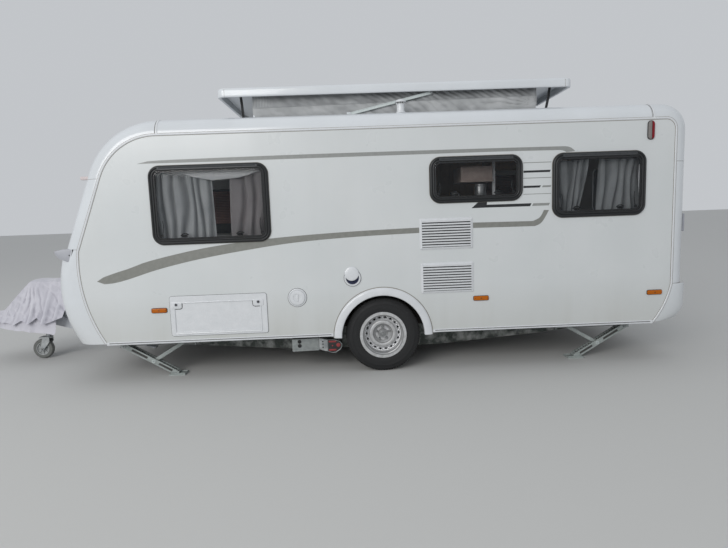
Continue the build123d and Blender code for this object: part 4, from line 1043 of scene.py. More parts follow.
def clipped_swoosh():
    """On the door side the stripe stops at the door's gap and goes on behind it."""
    top, low = smooth_line(SWOOSH_TOP, 120), smooth_line(SWOOSH_LOW, 120)
    ahead = [(a, b) for a, b in zip(top, low) if a[0] < DOOR_GAP[0] and b[0] < DOOR_GAP[0]]
    behind = [(a, b) for a, b in zip(top, low) if a[0] > DOOR_GAP[1] and b[0] > DOOR_GAP[1]]
    return [([a for a, _ in run], [b for _, b in run]) for run in (ahead, behind)]


build_stripes()

# Wheels
# Tyre: a block of the shoulder, the ribs of the tread and the carcass's outer half, as (radius, out)
LUG = ((302.5, 64), (311.6, 65), (311.0, 74), (307.5, 82), (299.5, 87.2), (290, 88.4), (290, 80), (300, 72))
RIBS = ((-52, -28, 0.012), (-16, 16, 0.0), (28, 52, -0.012))
RIB_RADIUS = 310.2
CARCASS = [(178, 91), (190, 92.5), (197, 93.2), (199.5, 95.5), (203, 94.2), (206, 95.2), (230, 97.2),
           (247, 97.6), (258, 96.9), (262, 97.8), (266, 96.6), (280, 92.5), (286, 90.2), (289, 91),
           (292, 88.5), (299, 83), (303.5, 79), (303.5, 63), (303, 62), (303, 54), (311, 53), (311, 27),
           (303, 26), (303, 18), (311, 17)]


def build_tyre(name, middle, axis):
    finish_and_place = ("tyre", "wheel_" + name, "tyre_black")
    tyre = Piece(f"tyre_{name}_carcass", *finish_and_place, 28)
    tyre.turned([(r, -y) for r, y in CARCASS] + CARCASS[::-1], middle, axis, 120, "ring")
    tyre.done(f"tyre_{name}")
    lug = Piece(f"tyre_{name}_lug", *finish_and_place, 25)
    for way in (-1, 1):
        lug.loft([[(r * sin(angle), way * y, r * cos(angle)) for r, y in LUG] for angle in (-0.030, 0.030)])
    repeat(lug, AROUND, 84, centre=middle)
    rib = Piece(f"tyre_{name}_rib_block", *finish_and_place, 25)
    for y0, y1, lean in RIBS:
        corners = ((y0, 0, 0), (y1, 0, 1), (y1 - 1, 1.7, 1), (y0 + 1, 1.7, 0))
        rib.loft([[((RIB_RADIUS + rise) * sin(angle + lean * way), y, (RIB_RADIUS + rise) * cos(angle))
                   for y, rise, way in corners] for angle in (-0.034, 0.034)])
    repeat(rib, AROUND, 80, centre=middle)


# Rings pressed into the rim: (radius, along) pairs, how far out of the middle, and the steps round
HUB_RINGS = (
    ([(31, 4), (36, 8), (37, 22), (34.5, 26), (33, 27), (30, 26.5), (30, 20), (31, 4)], 14, 48),
    ([(84, 22), (86, 27.2), (91, 29), (107, 29), (111, 27.4), (114, 23), (112, 20), (88, 20)], 13, 96),
    ([(159, -8), (159, -2), (163, 0), (170, 2), (172, -2), (168, -8)], 88, 96),
)


def build_wheels():
    for name, side in SIDES.items():
        mid = side * TYRE_MID_Y
        middle = (AXLE[0], mid, AXLE[1])
        axis = (0, side, 0)
        place = ("wheel_" + name, "rim_silver")
        build_tyre(name, middle, axis)
        bolt = Piece("wheel_bolt_" + name, "steel", *place)
        bolt.turned([(12.5, 0), (12.5, 3), (10.5, 5), (10, 5.2)], (0, 0, 56), axis, 20)
        bolt.hexagon((0, side * 5, 56), (0, side * 18, 56), 17, 1.5)
        repeat(bolt, AROUND, 5, centre=(AXLE[0], mid + side * 14, AXLE[1]))
        hub = Piece("hub_ring_" + name, "rim", *place)
        for section, out, turns in HUB_RINGS:
            hub.turned(section[::-1], (AXLE[0], mid + side * out, AXLE[1]), axis, turns, "ring")
        hub.done()
        edge = Piece("rim_hole_edge_" + name, "black", *place, sharp=25)
        edge.turned([(12.4, -6), (12.4, 2.6), (9.4, 2.6), (9.4, -6)], (0, side * 17, 137), axis, 20, "ring")
        repeat(edge, AROUND, 18, centre=middle)
        cap = Piece("hub_cap_" + name, "steel", *place)
        cap.turned([(29, 0), (29.5, 10), (27, 13.5), (20, 15), (19, 13.6), (11, 13.6), (10, 15.6), (4, 16.2)],
                   (AXLE[0], mid + side * 32, AXLE[1]), axis, 40)
        cap.done()
        valve = Piece("valve_" + name, "black", "wheel_" + name, "black_rubber")
        angle = radians(140)
        foot, tip = (Vector((AXLE[0] + reach * cos(angle), mid + side * out, AXLE[1] + reach * sin(angle)))
                     for reach, out in ((156, 30), (146, 62)))
        valve.rod(foot, foot.lerp(tip, 0.6), 5.5, 1.0, 12)
        valve.rod(foot.lerp(tip, 0.5), tip, 3.8, 1.0, 12)
        valve.done()


build_wheels()

# Wheel-arch trims and skirt rails
ARCH_TRIM = [(345, -26), (345, 10), (348, 15.5), (354, 17.6), (362, 17.8), (392, 14), (402, 11), (409, 6),
             (412, 0.2), (350, 0.2), (348, -26)]
ARCH_SEAL = [(411, -0.2), (413, 2.2), (416.5, 1.6), (417.5, -0.2)]
SKIRT_RAIL = [(0, 352), (4, 352), (7.2, 349), (7.8, 345.5), (4.6, 343.5), (4.6, 339.5), (7.8, 337.5),
              (7.8, 331), (5.5, 326.5), (0, 326)]


def build_lower_trims():
    trim = Piece("arch_trims", "trim", slot="white_skin")
    seal = Piece("arch_sealant", "seal", slot="white_skin")
    angles = [radians(0.4) + radians(179.2) * step / 60 for step in range(61)]
    for side in (-1, 1):
        for piece, section in ((trim, ARCH_TRIM), (seal, ARCH_SEAL)):
            piece.loft([[(AXLE[0] + r * cos(angle), side * (WALL_Y + proud), 308 + r * sin(angle))
                         for r, proud in section] for angle in angles])
    trim.done("lower_trims")
    seal.done()
    rail = Piece("skirt_rails", "trim", slot="white_skin")
    groove = Piece("skirt_grooves", "gap", slot="white_skin")
    span = sqrt(412 ** 2 - 42 ** 2) + 4
    for side in (-1, 1):
        for x0, x1 in ((-1580.0, AXLE[0] - span - 2), (AXLE[0] + span + 2, 2972.0)):
            rail.loft([[(x, side * (WALL_Y + proud), z) for proud, z in SKIRT_RAIL] for x in (x0, x1)])
            for cap_x in (x0 - 1, x1 - 18):
                rail.side_box(side, cap_x, cap_x + 19, WALL_Y, WALL_Y + 8.4, 325.5, 353, 2)
            groove.side_box(side, x0 + 4, x1 - 4, WALL_Y + 4, WALL_Y + 5.6, 339.3, 343.7)
    finish_all(rail, groove)


build_lower_trims()

# Fridge vents: a frame, angled slats and a dark well behind them
VENT_FRAME = [(0, 0.2), (0, 3), (1.5, 5.5), (5, 8), (11, 10.5), (14, 11), (15.5, 9), (15.5, 0.2)]
VENTS = ((1025, 1455, 1020, 1268), (1028, 1458, 658, 904))


def build_vents():
    frame_piece = Piece("vent_frames", "trim", slot="white_skin")
    well = Piece("vent_wells", "black", slot="white_skin")
    for index, (x0, x1, z0, z1) in enumerate(VENTS):
        place = wall_basis(-1, (x0 + x1) / 2, (z0 + z1) / 2)
        width, height = x1 - x0, z1 - z0
        frame_piece.ring(width, height, 12, VENT_FRAME, place, 5)
        frame_piece.ring(width, height, 12, [(-5, 0.1), (-5, 2), (-3, 3), (0.5, 3), (0.5, 0.1)], place, 5)
        # painted shade: a dark panel behind the slats stands for the shade inside the vent
        well.box(-width / 2 + 14, width / 2 - 14, -height / 2 + 14, height / 2 - 14, 0.3, 1.6, 0, place)
        pitch = (height - 26) / 10
        slat = Piece(f"vent_slat_{index}", "trim", slot="white_skin", sharp=25)
        low = z0 + 13 + pitch * 0.42
        section = [(2, 0), (3.5, 0), (10.6, -2.0), (11.4, 0), (11.4, pitch * 0.42), (9.8, pitch * 0.48),
                   (2, pitch * 0.5)]
        slat.loft([[(x, -WALL_Y - out, low + up) for out, up in section] for x in (x0 + 15, x1 - 15)])
        repeat(slat, ALONG, 10, step=(0, 0, pitch), replaced=("fridge_vents",) if index == 0 else ())
        for way in (-1, 1):
            for up in (-1, 1):
                spot = place @ Vector((way * (width / 2 - 8), up * (height / 2 - 8), 9.4))
                frame_piece.turned([(4.5, 0), (4.5, 1.6), (3, 2.4)], spot, (0, -1, 0), 12)
    finish_all(frame_piece, well)


build_vents()


# Service hatch, filler cap, mains inlet
def build_hatch_details():
    trim = Piece("hatch_mouldings", "trim", slot="white_skin")
    gap = Piece("hatch_gap_lines", "gap", slot="white_skin")
    place = wall_basis(-1, -649, 548)
    trim.ring(788, 326, 16, [(-3, 0.2), (-3, 3), (0, 5.5), (6, 7), (10, 6), (14, 5), (14, 0.2)], place, 6)
    gap.ring(788, 326, 16, [(-5.5, 0.1), (-5.5, 1.2), (-3, 1.8), (-3, 0.1)], place, 6)
    door_place = wall_basis(-1, -656.5, 531.5)
    trim.ring(716, 268, 14, [(0, 6.8), (1.5, 10.5), (5, 12), (9, 10.5), (10.5, 6.8)], door_place, 6)
    finish_all(trim, gap)
    door = Piece("hatch_door_panel", "trim", "hatch_door", "white_skin")
    door.plate(708, 260, 10, [(60, -31.5), (0, -31.5), (0, 3.5), (1.5, 5), (100, 5)], door_place, 6)
    # the pressed frame stands proud along the foot and the rear end, where it catches the light
    door.box(-352, 352, -128, -112, 4, 10, 3, door_place)
    door.box(338, 352, -120, 60, 4, 9, 3, door_place)
    for u in (-334, 334):
        door.plate(88, 58, 16, [(0, 4), (0, 8), (2, 10.5), (6, 11.5)],
                   door_place @ Matrix.Translation((u, 108, 0)), 6)
    for x in (-900, -450):
        door.rod((x - 26, -WALL_Y - 10, 401), (x + 26, -WALL_Y - 10, 401), 4.5, 0.8, 14)
    door.done("hatch_door")
    step_line = Piece("hatch_step_lines", "gap", "hatch_door", "white_skin")
    for way in (-1, 1):
        path = [(way * 356, 76), (way * 306, 75), (way * 291, 82), (way * 287, 96), (way * 287, 128)]
        spots = [door_place @ Vector((u, v, 6.2)) for u, v in path]
        step_line.sweep(spots, [(-1.8, -1.5), (1.8, -1.5), (1.8, 0.6), (-1.8, 0.6)], up=(0, -1, 0))
    step_line.done()
    locks = Piece("hatch_locks", "handle", "hatch_door", "white_plastic")
    barrels = Piece("hatch_lock_barrels", "black", "hatch_door", "white_plastic")
    for x, z in ((-992, 645), (-322, 645)):
        spot = (x, -WALL_Y - 10.5, z)
        locks.turned([(14, 0), (14, 2), (12, 3.4), (9.5, 3.4), (9, 2), (9, 0)][::-1], spot, (0, -1, 0), 32,
                     "ring")
        barrels.turned([(9, 0), (9, 2.2), (7.5, 3)], spot, (0, -1, 0), 24)
    finish_all(locks, barrels)


build_hatch_details()

# Places on the near wall, as (x, z)
FILLER = (0, 664)
INLET = (460, 809)


def build_caps():
    out = (0, -1, 0)
    cap = Piece("filler_cap", "trim")
    spot = (FILLER[0], -WALL_Y, FILLER[1])
    cap.turned([(76, 0.2), (76, 3), (73, 6.5), (66, 8), (64.5, 6), (64.5, 3.5), (63, 3.5), (62.5, 10),
                (59, 13), (50, 14.2), (34, 14.6), (32, 11.5), (8, 11)], spot, out, 64)
    cap.box(-9, 9, -WALL_Y - 16.5, -WALL_Y - 10, FILLER[1] - 31, FILLER[1] + 31, 3.5)
    cap.turned([(7, 0), (7, 2.2), (5.5, 3)], (FILLER[0], -WALL_Y - 14.6, FILLER[1]), out, 20)
    cap.done("filler_and_inlet")
    seal = Piece("cap_seals", "gap")
    for (x, z), radius in ((FILLER, 76), (INLET, 69)):
        section = [(radius + 3, 0.1), (radius + 2, 1.4), (radius - 1, 1.4), (radius - 1, 0.1)]
        seal.turned(section, (x, -WALL_Y, z), out, 64, "ring")
    seal.done()
    ring = Piece("inlet_ring", "trim")
    spot = (INLET[0], -WALL_Y, INLET[1])
    ring.turned([(52, 0.2), (53, 9), (55, 13), (60, 14), (66, 11), (69, 5), (69, 0.2)], spot, out, 64, "ring")
    for x in (444, 464):
        ring.box(x, x + 12, -WALL_Y - 18, -WALL_Y - 8, 862, 880, 3)
    ring.done()
    well = Piece("inlet_well", "inlet_blue")
    well.turned([(53, 0.3), (53, 1.5), (36, 2), (34, 11), (30, 12), (29, 5), (4, 4.5)], spot, out, 48)
    well.box(INLET[0] - 15, INLET[0] + 15, -WALL_Y - 13, -WALL_Y - 2, INLET[1] + 26, INLET[1] + 40, 3)
    well.done()
    pins = Piece("inlet_pins", "steel")
    for dx, dz in ((0, 12), (-12, -8), (12, -8)):
        x, z = INLET[0] + dx, INLET[1] + dz
        pins.rod((x, -WALL_Y - 4, z), (x, -WALL_Y - 13, z), 3, 0.8, 12)
    pins.done()
    # the flap hangs over the upper part of the inlet: a shallow dome seen from its outside
    flap = Piece("inlet_flap", "trim")
    tilt = Vector((0, -cos(radians(5)), sin(radians(5))))
    spot = Vector((454, -WALL_Y - 8, 845))
    flap.turned([(57, 0), (58, 3), (56, 6.5), (50, 9), (38, 10.8), (20, 11.8), (5, 12)], spot, tilt, 56)
    flap.turned([(54.5, -4), (55, 1), (58, 1), (58.5, -4), (57.5, -5)], spot, tilt, 56, "ring")
    flap.done()


build_caps()


# Lamps
def build_lamps():
    base = Piece("marker_bases", "black", slot="amber")
    amber = Piece("marker_lenses", "amber", slot="amber")
    for side in (-1, 1):
        for x, z in ((-1134, 602), (1521, 599), (2982, 590)):
            place = wall_basis(side, x, z)
            base.plate(130, 42, 13, [(0, 0.1), (0, 4), (1.5, 5)], place, 6)
            amber.plate(124, 36, 11, [(0, 4), (0.5, 9), (3, 12.5), (7, 13.6), (12, 13.8)], place, 6)
            for way in (-1, 1):
                base.turned([(3.4, 0), (3.4, 1), (2.4, 1.4)], place @ Vector((way * 51, 0, 12.6)),
                            (0, side, 0), 12)
            base.box(-5, 5, -4, 4, 12.9, 14, 1, place)
    amber.done("marker_lamps")
    # outline markers high at the rear: a rubber pod, clear to the front and red to the rear
    pods = Piece("outline_marker_pods", "black", slot="amber")
    clear = Piece("outline_marker_clear", "clear", slot="amber")
    red = Piece("outline_marker_red", "red", slot="red_lens")
    for side in (-1, 1):
        place = wall_basis(side, 2915, 1917)
        pods.plate(58, 152, 27, [(0, 0.1), (0, 5), (2, 8), (6, 9)], place, 8)
        for piece, way in ((clear, side), (red, -side)):
            piece.loft([[(way * max(way * u, 0.8), v, out) for u, v in rounded_loop(52, 144, 24, inset, 8)]
                        for inset, out in ((0, 8), (0.5, 12), (3, 16), (8, 18), (15, 18.8))], place)
        pods.box(-1.4, 1.4, -66, 66, 8, 19.6, 0.5, place)
    finish_all(base, pods, clear, red)


build_lamps()

# Corner handles: a dark gasket behind the grey wedge, and its screw
WEDGE = [(-1797, 1126), (-1821, 1019), (-1850, 1029), (-1886, 1046), (-1914, 1063), (-1932, 1083),
         (-1942, 1104), (-1943, 1114), (-1938, 1119), (-1926, 1122), (-1864, 1133), (-1830, 1131)]
GASKET = [(-1793, 1129), (-1783, 1131), (-1783, 1126), (-1812, 1009), (-1822, 1012), (-1821, 1017)]


def build_handle_details():
    grip = Piece("handle_grips", "handle", slot="grey_plastic", sharp=40)
    gasket = Piece("handle_gaskets", "black", slot="grey_plastic")
    screw = Piece("handle_screws", "black", slot="grey_plastic")
    front_marker = Piece("front_marker_lamps", "lens_white", slot="amber")
    for side in (-1, 1):
        gasket.loft([[(x, y, z) for x, z in GASKET] for y in sorted((side * 902, side * 1093))])
        screw.turned([(5, 0), (5, 1.2), (3.4, 1.8)], (-1822, side * 1091.6, 1082), (0, side, 0), 14)
        outlined(grip, WEDGE, side, 903, 1090, 9.0)
        front_marker.side_box(side, -1722, -1626, 962, 998, 1685, 1713, 8, 3)
        x = REAR_X + 24
        grip.rod((x, side * 985, 1086), (x, side * 985, 1234), 10.5, 4, 20)
        for z in (1100, 1220):
            grip.rod((3256, side * 985, z), (x, side * 985, z), 9, 0, 16)
            grip.turned([(17, 0), (17, 3), (14, 5)], (3255.2, side * 985, z), (1, 0, 0), 24)
    grip.done("grab_handles")
    finish_all(front_marker, gasket, screw)


build_handle_details()


# Flue
def build_flue():
    flue = Piece("flue_cowl", "trim", slot="galvanised")
    x, y = 908, -960
    spot = (x, y, ROOF_Z - 2)
    flue.turned([(41, 0), (41, 6), (36, 12), (33, 16), (32, 20), (32, 66), (36, 69), (36, 72), (31, 74),
                 (31, 86)],
                spot, (0, 0, 1), 48)
    flue.turned([(45.5, 86), (45.5, 92), (43, 96), (34, 104), (22, 109), (5, 111.5)], spot, (0, 0, 1), 48)
    flue.done("flue")
    # painted shade: a dark band inside the openings between the posts
    dark = Piece("flue_gaps", "gap", slot="galvanised")
    dark.turned([(33, 74.2), (33, 85.8)], spot, (0, 0, 1), 32)
    dark.done()
    posts = Piece("flue_posts", "trim", slot="galvanised")
    for step in range(14):
        angle = 2 * pi * step / 14
        post_x, post_y = x + 34.5 * cos(angle), y + 34.5 * sin(angle)
        posts.rod((post_x, post_y, ROOF_Z + 71), (post_x, post_y, ROOF_Z + 86), 2.2, 0, 8)
    posts.done()


build_flue()

# Roof lid, rooflight and what carries them
LID_X, LID_HALF = (-600.0, 2360.0), 900.0
LID_MIDDLE = ((LID_X[0] + LID_X[1]) / 2, 0.0, 0.0)

LID_PROFILE = [(850, 2376.5), (120, 2376.5), (40, 2375.5), (31, 2371), (29.5, 2331), (26, 2325), (20, 2322.4),
               (8, 2322), (2.5, 2324), (0.4, 2329), (0, 2337), (0, 2376), (3, 2386), (10, 2394), (22, 2398.6),
               (44, 2400), (300, 2403), (850, 2405)]
LIGHT_FRAME = [(0, 2402), (0, 2412), (3, 2418), (10, 2421), (38, 2421), (44, 2416), (46, 2402)]
LIGHT_DOME = [(4, 2406), (2, 2414), (6, 2424), (20, 2430), (60, 2435), (140, 2438), (300, 2439.5)]


def build_lid():
    place = basis(LID_MIDDLE, (1, 0, 0), (0, 1, 0))
    lid = Piece("lid_shell", "moulding", "roof_lid", "white_skin")
    lid.plate(LID_X[1] - LID_X[0], 2 * LID_HALF, 60, LID_PROFILE, place, 10)
    lid.done("roof_lid")
    seams = Piece("lid_corner_seams", "seal", "roof_lid", "white_skin")
    for x in (LID_X[0] + 64, LID_X[1] - 64):
        for way in (-1, 1):
            seams.side_box(way, x - 1, x + 1, LID_HALF - 4, LID_HALF + 0.5, 2323, 2384)
    for x_way, x in ((-1, LID_X[0]), (1, LID_X[1])):
        for way in (-1, 1):
            x0, x1 = sorted((x - x_way * 4, x + x_way * 0.5))
            seams.box(x0, x1, way * (LID_HALF - 64) - 1, way * (LID_HALF - 64) + 1, 2323, 2384)
    seams.done()
    # flat tracks under the lid, clear above the levers' tips at every height of the lid
    track = Piece("lid_lever_tracks", "lever", "roof_lid", "lever_aluminium")
    for side in (-1, 1):
        track.side_box(side, 900, 1560, 842, 860, 2369, 2377, 1.5)
    track.done()
    light_frame = Piece("rooflight_frame", "trim", "roof_lid", "white_skin")
    light_place = basis((950, 0, 0), (1, 0, 0), (0, 1, 0))
    light_frame.ring(700, 700, 60, LIGHT_FRAME, light_place, 8)
    light_frame.done("rooflight")
    dome = Piece("rooflight_dome", "pane", "roof_lid", "acrylic")
    dome.plate(640, 640, 50, LIGHT_DOME, light_place, 8)
    dome.done()
    lever = Piece("lever_fittings", "steel", "roof_levers", "lever_aluminium")
    for side in (-1, 1):
        lever.turned([(13, 0), (13, 2), (10, 3)], (481, side * 857, 2163), (0, side, 0), 24)
        lever.hexagon((481, side * 860, 2163), (481, side * 868, 2163), 15, 1.5)
        lever.turned([(11, 0), (11, 3), (8, 5)], (1180, side * 857, 2318), (0, side, 0), 24)
    lever.done()
    ribs = Piece("lever_edges", "lever", "roof_levers", "lever_aluminium")
    for side in (-1, 1):
        start, end = Vector((500, side * 857.5, 2167.2)), Vector((1168, side * 857.5, 2315.3))
        along = (end - start).normalized()
        up = Vector((-along.z, 0, along.x))
        for offset in (-9.5, 9.5):
            points = [(-1.8, -0.6), (1.8, -0.6), (1.4, 2.2), (-1.4, 2.2)]
            ribs.loft([[spot + up * (offset + a) + Vector((0, side * b, 0)) for a, b in points]
                       for spot in (start, end)])
    ribs.done()


build_lid()


# Fabric made as grids
def clamp(value, low=0.0, high=1.0):
    return max(low, min(high, value))


def ease(value):
    value = clamp(value)
    return value * value * (3 - 2 * value)


def drift(x, y=0.0, z=0.0):
    """Smooth noise about 0."""
    return noise.noise(Vector((x, y, z)))


def grid_cloth(name, finish, columns, rows, spot, slot="grey_fabric", closed=False, hollow=None):
    """Cloth over a grid: spot(u, v) gives each point in millimetres, and the shade function, if given, each
    point's painted shade in the folds.
    """
    mesh = bpy.data.meshes.new(name)
    across = columns if closed else columns + 1
    shares = [(column / columns, row / rows) for row in range(rows + 1) for column in range(across)]
    points = [[part * MM for part in spot(u, v)] for u, v in shares]
    faces = []
    for row in range(rows):
        for column in range(columns):
            nxt = (column + 1) % across
            low, high = row * across, (row + 1) * across
            faces.append((low + column, low + nxt, high + nxt, high + column))
    mesh.from_pydata(points, [], faces)
    mesh.shade_smooth()
    if hollow:
        shade = [hollow(u, v) for u, v in shares]
        mesh.attributes.new("hollow", "FLOAT", "POINT").data.foreach_set("value", shade)
    return settle(show(name, mesh, finish), "caravan", slot)


def cloth_area(piece):
    return sum(face.area for face in piece.data.polygons)


def declare(piece, flat):
    """Works out a cloth's area held within the flat size that it was cut to, in metres; the result is not
    kept.
    """
    cut = flat[0] * flat[1]
    clamp(cloth_area(piece), 0.3 * cut, cut)


# Bellows between the roof and its lid
BELLOWS_X, BELLOWS_Y, BELLOWS_Z = (-324.0, 2085.0), 836.0, (2141.0, 2376.0)
FAN = (2089.0, 2187.0)


def seam_height(x):
    return 2243.0 + 0.0125 * x


def creased(phase, sharp=1.0):
    """Rounded folds with tight valleys, from -0.5 to 0.5."""
    return abs(sin(pi * phase)) ** sharp - 0.5


def near_wall_fold(x, z):
    """How far the long walls' cloth stands out at a place, in millimetres."""
    seam = seam_height(x)
    top = BELLOWS_Z[1]
    if z > seam:
        height = (z - seam) / (top - seam)
        swag = creased((x + 1.67 * (z - seam) + 16 * drift(x / 160, z / 90)) / 66.0, 0.8)
        weight = ease((x - 380) / 500) * ease((2080 - x) / 120)
        fold = swag * 12.0 * weight * (0.3 + 0.7 * height) - 2.5 * weight
        pleat = creased((x + 4 * drift(x / 60, z / 60)) / 24.0, 0.8) * 7.0 * (1 - ease((x + 250) / 130))
        loose = 4.5 * drift(x / 150 + z / 120, z / 60, 3.0) + 2.6 * drift(x / 50 + z / 55, z / 40, 6.0)
        return fold + pleat * (0.5 + 0.5 * height) + loose - 2.5 * height
    height = (z - BELLOWS_Z[0]) / (seam - BELLOWS_Z[0])
    reach = hypot(FAN[0] - x, max(z - FAN[1], 0.0))
    angle = atan2(max(z - FAN[1], 0.0), max(FAN[0] - x, 1.0))
    fan = creased(angle * 6.5 + 0.35 * drift(x / 130, z / 80) + reach / 900, 0.7)
    fan_weight = ease((620 - reach) / 320) * ease(reach / 40) * ease((z - 2160) / 30)
    slant = creased((x + 1.1 * (z - seam) + 22 * drift(x / 150, z / 70, 5.0)) / 88.0, 0.8)
    slant_weight = ease((x - 200) / 500) * ease((1750 - x) / 300) * 0.55
    soft = 3.2 * drift(x / 120 + z / 260, z / 75, 9.0) + 1.6 * drift(x / 45 + z / 70, z / 40, 2.0)
    crumple = 1 - abs(drift(x / 95 + z / 70, z / 60 - x / 300, 12.0)) * 2.2
    folds = fan * 9.0 * fan_weight + slant * 6.5 * slant_weight
    return folds + soft * 1.3 + max(crumple, -0.5) * 1.6 - 2.4 * (1 - height)


def end_wall_fold(y, z):
    corner = ease((abs(y) - 500) / 300)
    pleat = creased((y + 9 * drift(y / 80, z / 60)) / 40.0, 0.8)
    return pleat * 8.0 * (0.25 + 0.75 * corner) * ease((z - 2160) / 60) + 2.5 * drift(y / 160, z / 70, 4.0)


def bellows_loop():
    """Points and outward ways round the bellows, evenly spaced, starting at the front of the near wall."""
    width, depth = BELLOWS_X[1] - BELLOWS_X[0], 2 * BELLOWS_Y
    radius = 34.0
    middle_x = sum(BELLOWS_X) / 2
    stretches = []
    step = 8.0
    corners = ((1, -1), (1, 1), (-1, 1), (-1, -1))
    for index, (way_x, way_y) in enumerate(corners):
        centre = (middle_x + way_x * (width / 2 - radius), way_y * (depth / 2 - radius))
        start = -90 + 90 * index
        before = corners[index - 1]
        last = (middle_x + before[0] * (width / 2 - radius), before[1] * (depth / 2 - radius))
        length = hypot(centre[0] - last[0], centre[1] - last[1])
        normal = (cos(radians(start)), sin(radians(start)))
        count = int(length / step)
        for place in range(count):
            share = place / count
            base = (last[0] + (centre[0] - last[0]) * share, last[1] + (centre[1] - last[1]) * share)
            stretches.append(((base[0] + normal[0] * radius, base[1] + normal[1] * radius), normal))
        for turn in range(7):
            angle = radians(start + 90 * turn / 7)
            way = (cos(angle), sin(angle))
            stretches.append(((centre[0] + way[0] * radius, centre[1] + way[1] * radius), way))
    return stretches


def build_bellows():
    loop = bellows_loop()
    count = len(loop)

    def plain(u):
        return loop[round(u * count) % count]

    def spot_between(low_of, high_of, bulge):
        def spot(u, v):
            (x, y), (nx, ny) = plain(u)
            low, high = low_of(x), high_of(x)
            z = low + (high - low) * v
            side_share = abs(ny)
            out = near_wall_fold(x, z) * side_share + end_wall_fold(y, z) * (1 - side_share)
            out += bulge * sin(pi * v)
            out = clamp(out, -4.2 if z < 2190 else -12.0, 4.6)
            return (x + nx * out, y + ny * out, z)
        return spot

    # painted shade: the further in a point of the bellows lies, the darker its cloth is painted
    def painted_shade_of(spot):
        def hollow(u, v):
            x, y, z = spot(u, v)
            (plain_x, plain_y), (nx, ny) = plain(u)
            out = (x - plain_x) * nx + (y - plain_y) * ny
            return clamp((2.6 - out) / 11.0) * 0.85
        return hollow

    low_spot = spot_between(lambda x: BELLOWS_Z[0], seam_height, 1.0)
    high_spot = spot_between(seam_height, lambda x: BELLOWS_Z[1], -1.5)
    lower = grid_cloth("bellows_lower", "bellows", count, 18, low_spot, closed=True,
                       hollow=painted_shade_of(low_spot))
    # the upper band takes the darker cloth: painted shade under the lid
    upper = grid_cloth("bellows_upper", "band", count, 22, high_spot, closed=True,
                       hollow=painted_shade_of(high_spot))
    seam_spot = spot_between(seam_height, seam_height, 0)

    def seam_round(u, v):
        x, y, z = seam_spot(u, 0)
        nx, ny = plain(u)[1]
        angle = 2 * pi * v
        out = 1.2 + 1.5 * cos(angle)
        return (x + nx * out, y + ny * out, z + 2.2 * sin(angle))

    seam = grid_cloth("bellows_seam", "band", count, 6, seam_round, closed=True)
    straps = Piece("roof_straps", "strap", "caravan", "black_rubber")
    for side in (-1, 1):
        for low_x, high_x in ((-411, -427), (2172, 2212)):
            path = [(low_x + (high_x - low_x) * t + 3 * sin(pi * t), side * (782 + 4 * sin(pi * t)),
                     2150 + 226 * t)
                    for t in [step / 12 for step in range(13)]]
            straps.sweep(path, [(-11, -0.9), (11, -0.9), (11, 0.9), (-11, 0.9)], up=(0, 1, 0))
            for x, z0, z1 in ((low_x, 2141, 2160), (high_x, 2352, 2372)):
                straps.side_box(side, x - 14, x + 14, 776, 790, z0, z1, 3)
    straps = straps.done()
    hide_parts("roof_bellows")
    around = 2 * (BELLOWS_X[1] - BELLOWS_X[0] + 2 * BELLOWS_Y) * MM
    declare(lower, (around, 0.118))
    declare(upper, (around, 0.136))
    for piece in (lower, upper, seam, straps):
        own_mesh(piece)


build_bellows()

# Cloth over the drawbar
COVER_X = (-3284.0, -2346.0)
COVER_RIDGE = [(-3284, 442), (-3190, 470), (-3120, 480), (-3098, 486), (-3050, 520), (-2932, 630),
               (-2762, 784), (-2745, 790), (-2700, 791), (-2600, 784), (-2520, 790), (-2440, 776),
               (-2346, 750)]
COVER_HEM = [(-3284, 372), (-2957, 389), (-2844, 374), (-2763, 418), (-2681, 385), (-2600, 446), (-2538, 380),
             (-2460, 400), (-2411, 420), (-2346, 442)]
COVER_FOLDS = ((-3170, 24, 50), (-3010, 20, 46), (-2844, 34, 44), (-2681, 46, 36), (-2538, 44, 34),
               (-2425, 30, 34))
SKIRT_HEM = [(-3284, 322), (-3083, 326), (-2936, 321), (-2737, 315), (-2680, 303), (-2538, 290), (-2440, 275),
             (-2424, 298)]


def read_line(line, x):
    """A height read off a line of (x, height) points, rounded a little at its corners."""
    total = 0.0
    for shift in (-5, 0, 5):
        spot = clamp(x + shift, line[0][0], line[-1][0])
        for (x0, z0), (x1, z1) in zip(line, line[1:]):
            if spot <= x1:
                total += z0 + (z1 - z0) * ((spot - x0) / (x1 - x0))
                break
    return total / 3


def fold_out(x, side):
    """How far the hanging folds stand out at the hem."""
    out = 0.0
    for middle, size, wide in COVER_FOLDS:
        middle += 22 if side > 0 else 0
        away = abs(x - middle) / wide
        out += size * (1 / (1 + away * away * 2.2)) ** 1.4
    return out - 16


def half_widths(x):
    share = (x - COVER_X[0]) / (COVER_X[1] - COVER_X[0])
    rising = clamp((x + 3290) / 550)
    low = 88 + 190 * ease(rising) + 95 * share
    high = 44 + 82 * ease(rising) + 14 * share
    return low, high


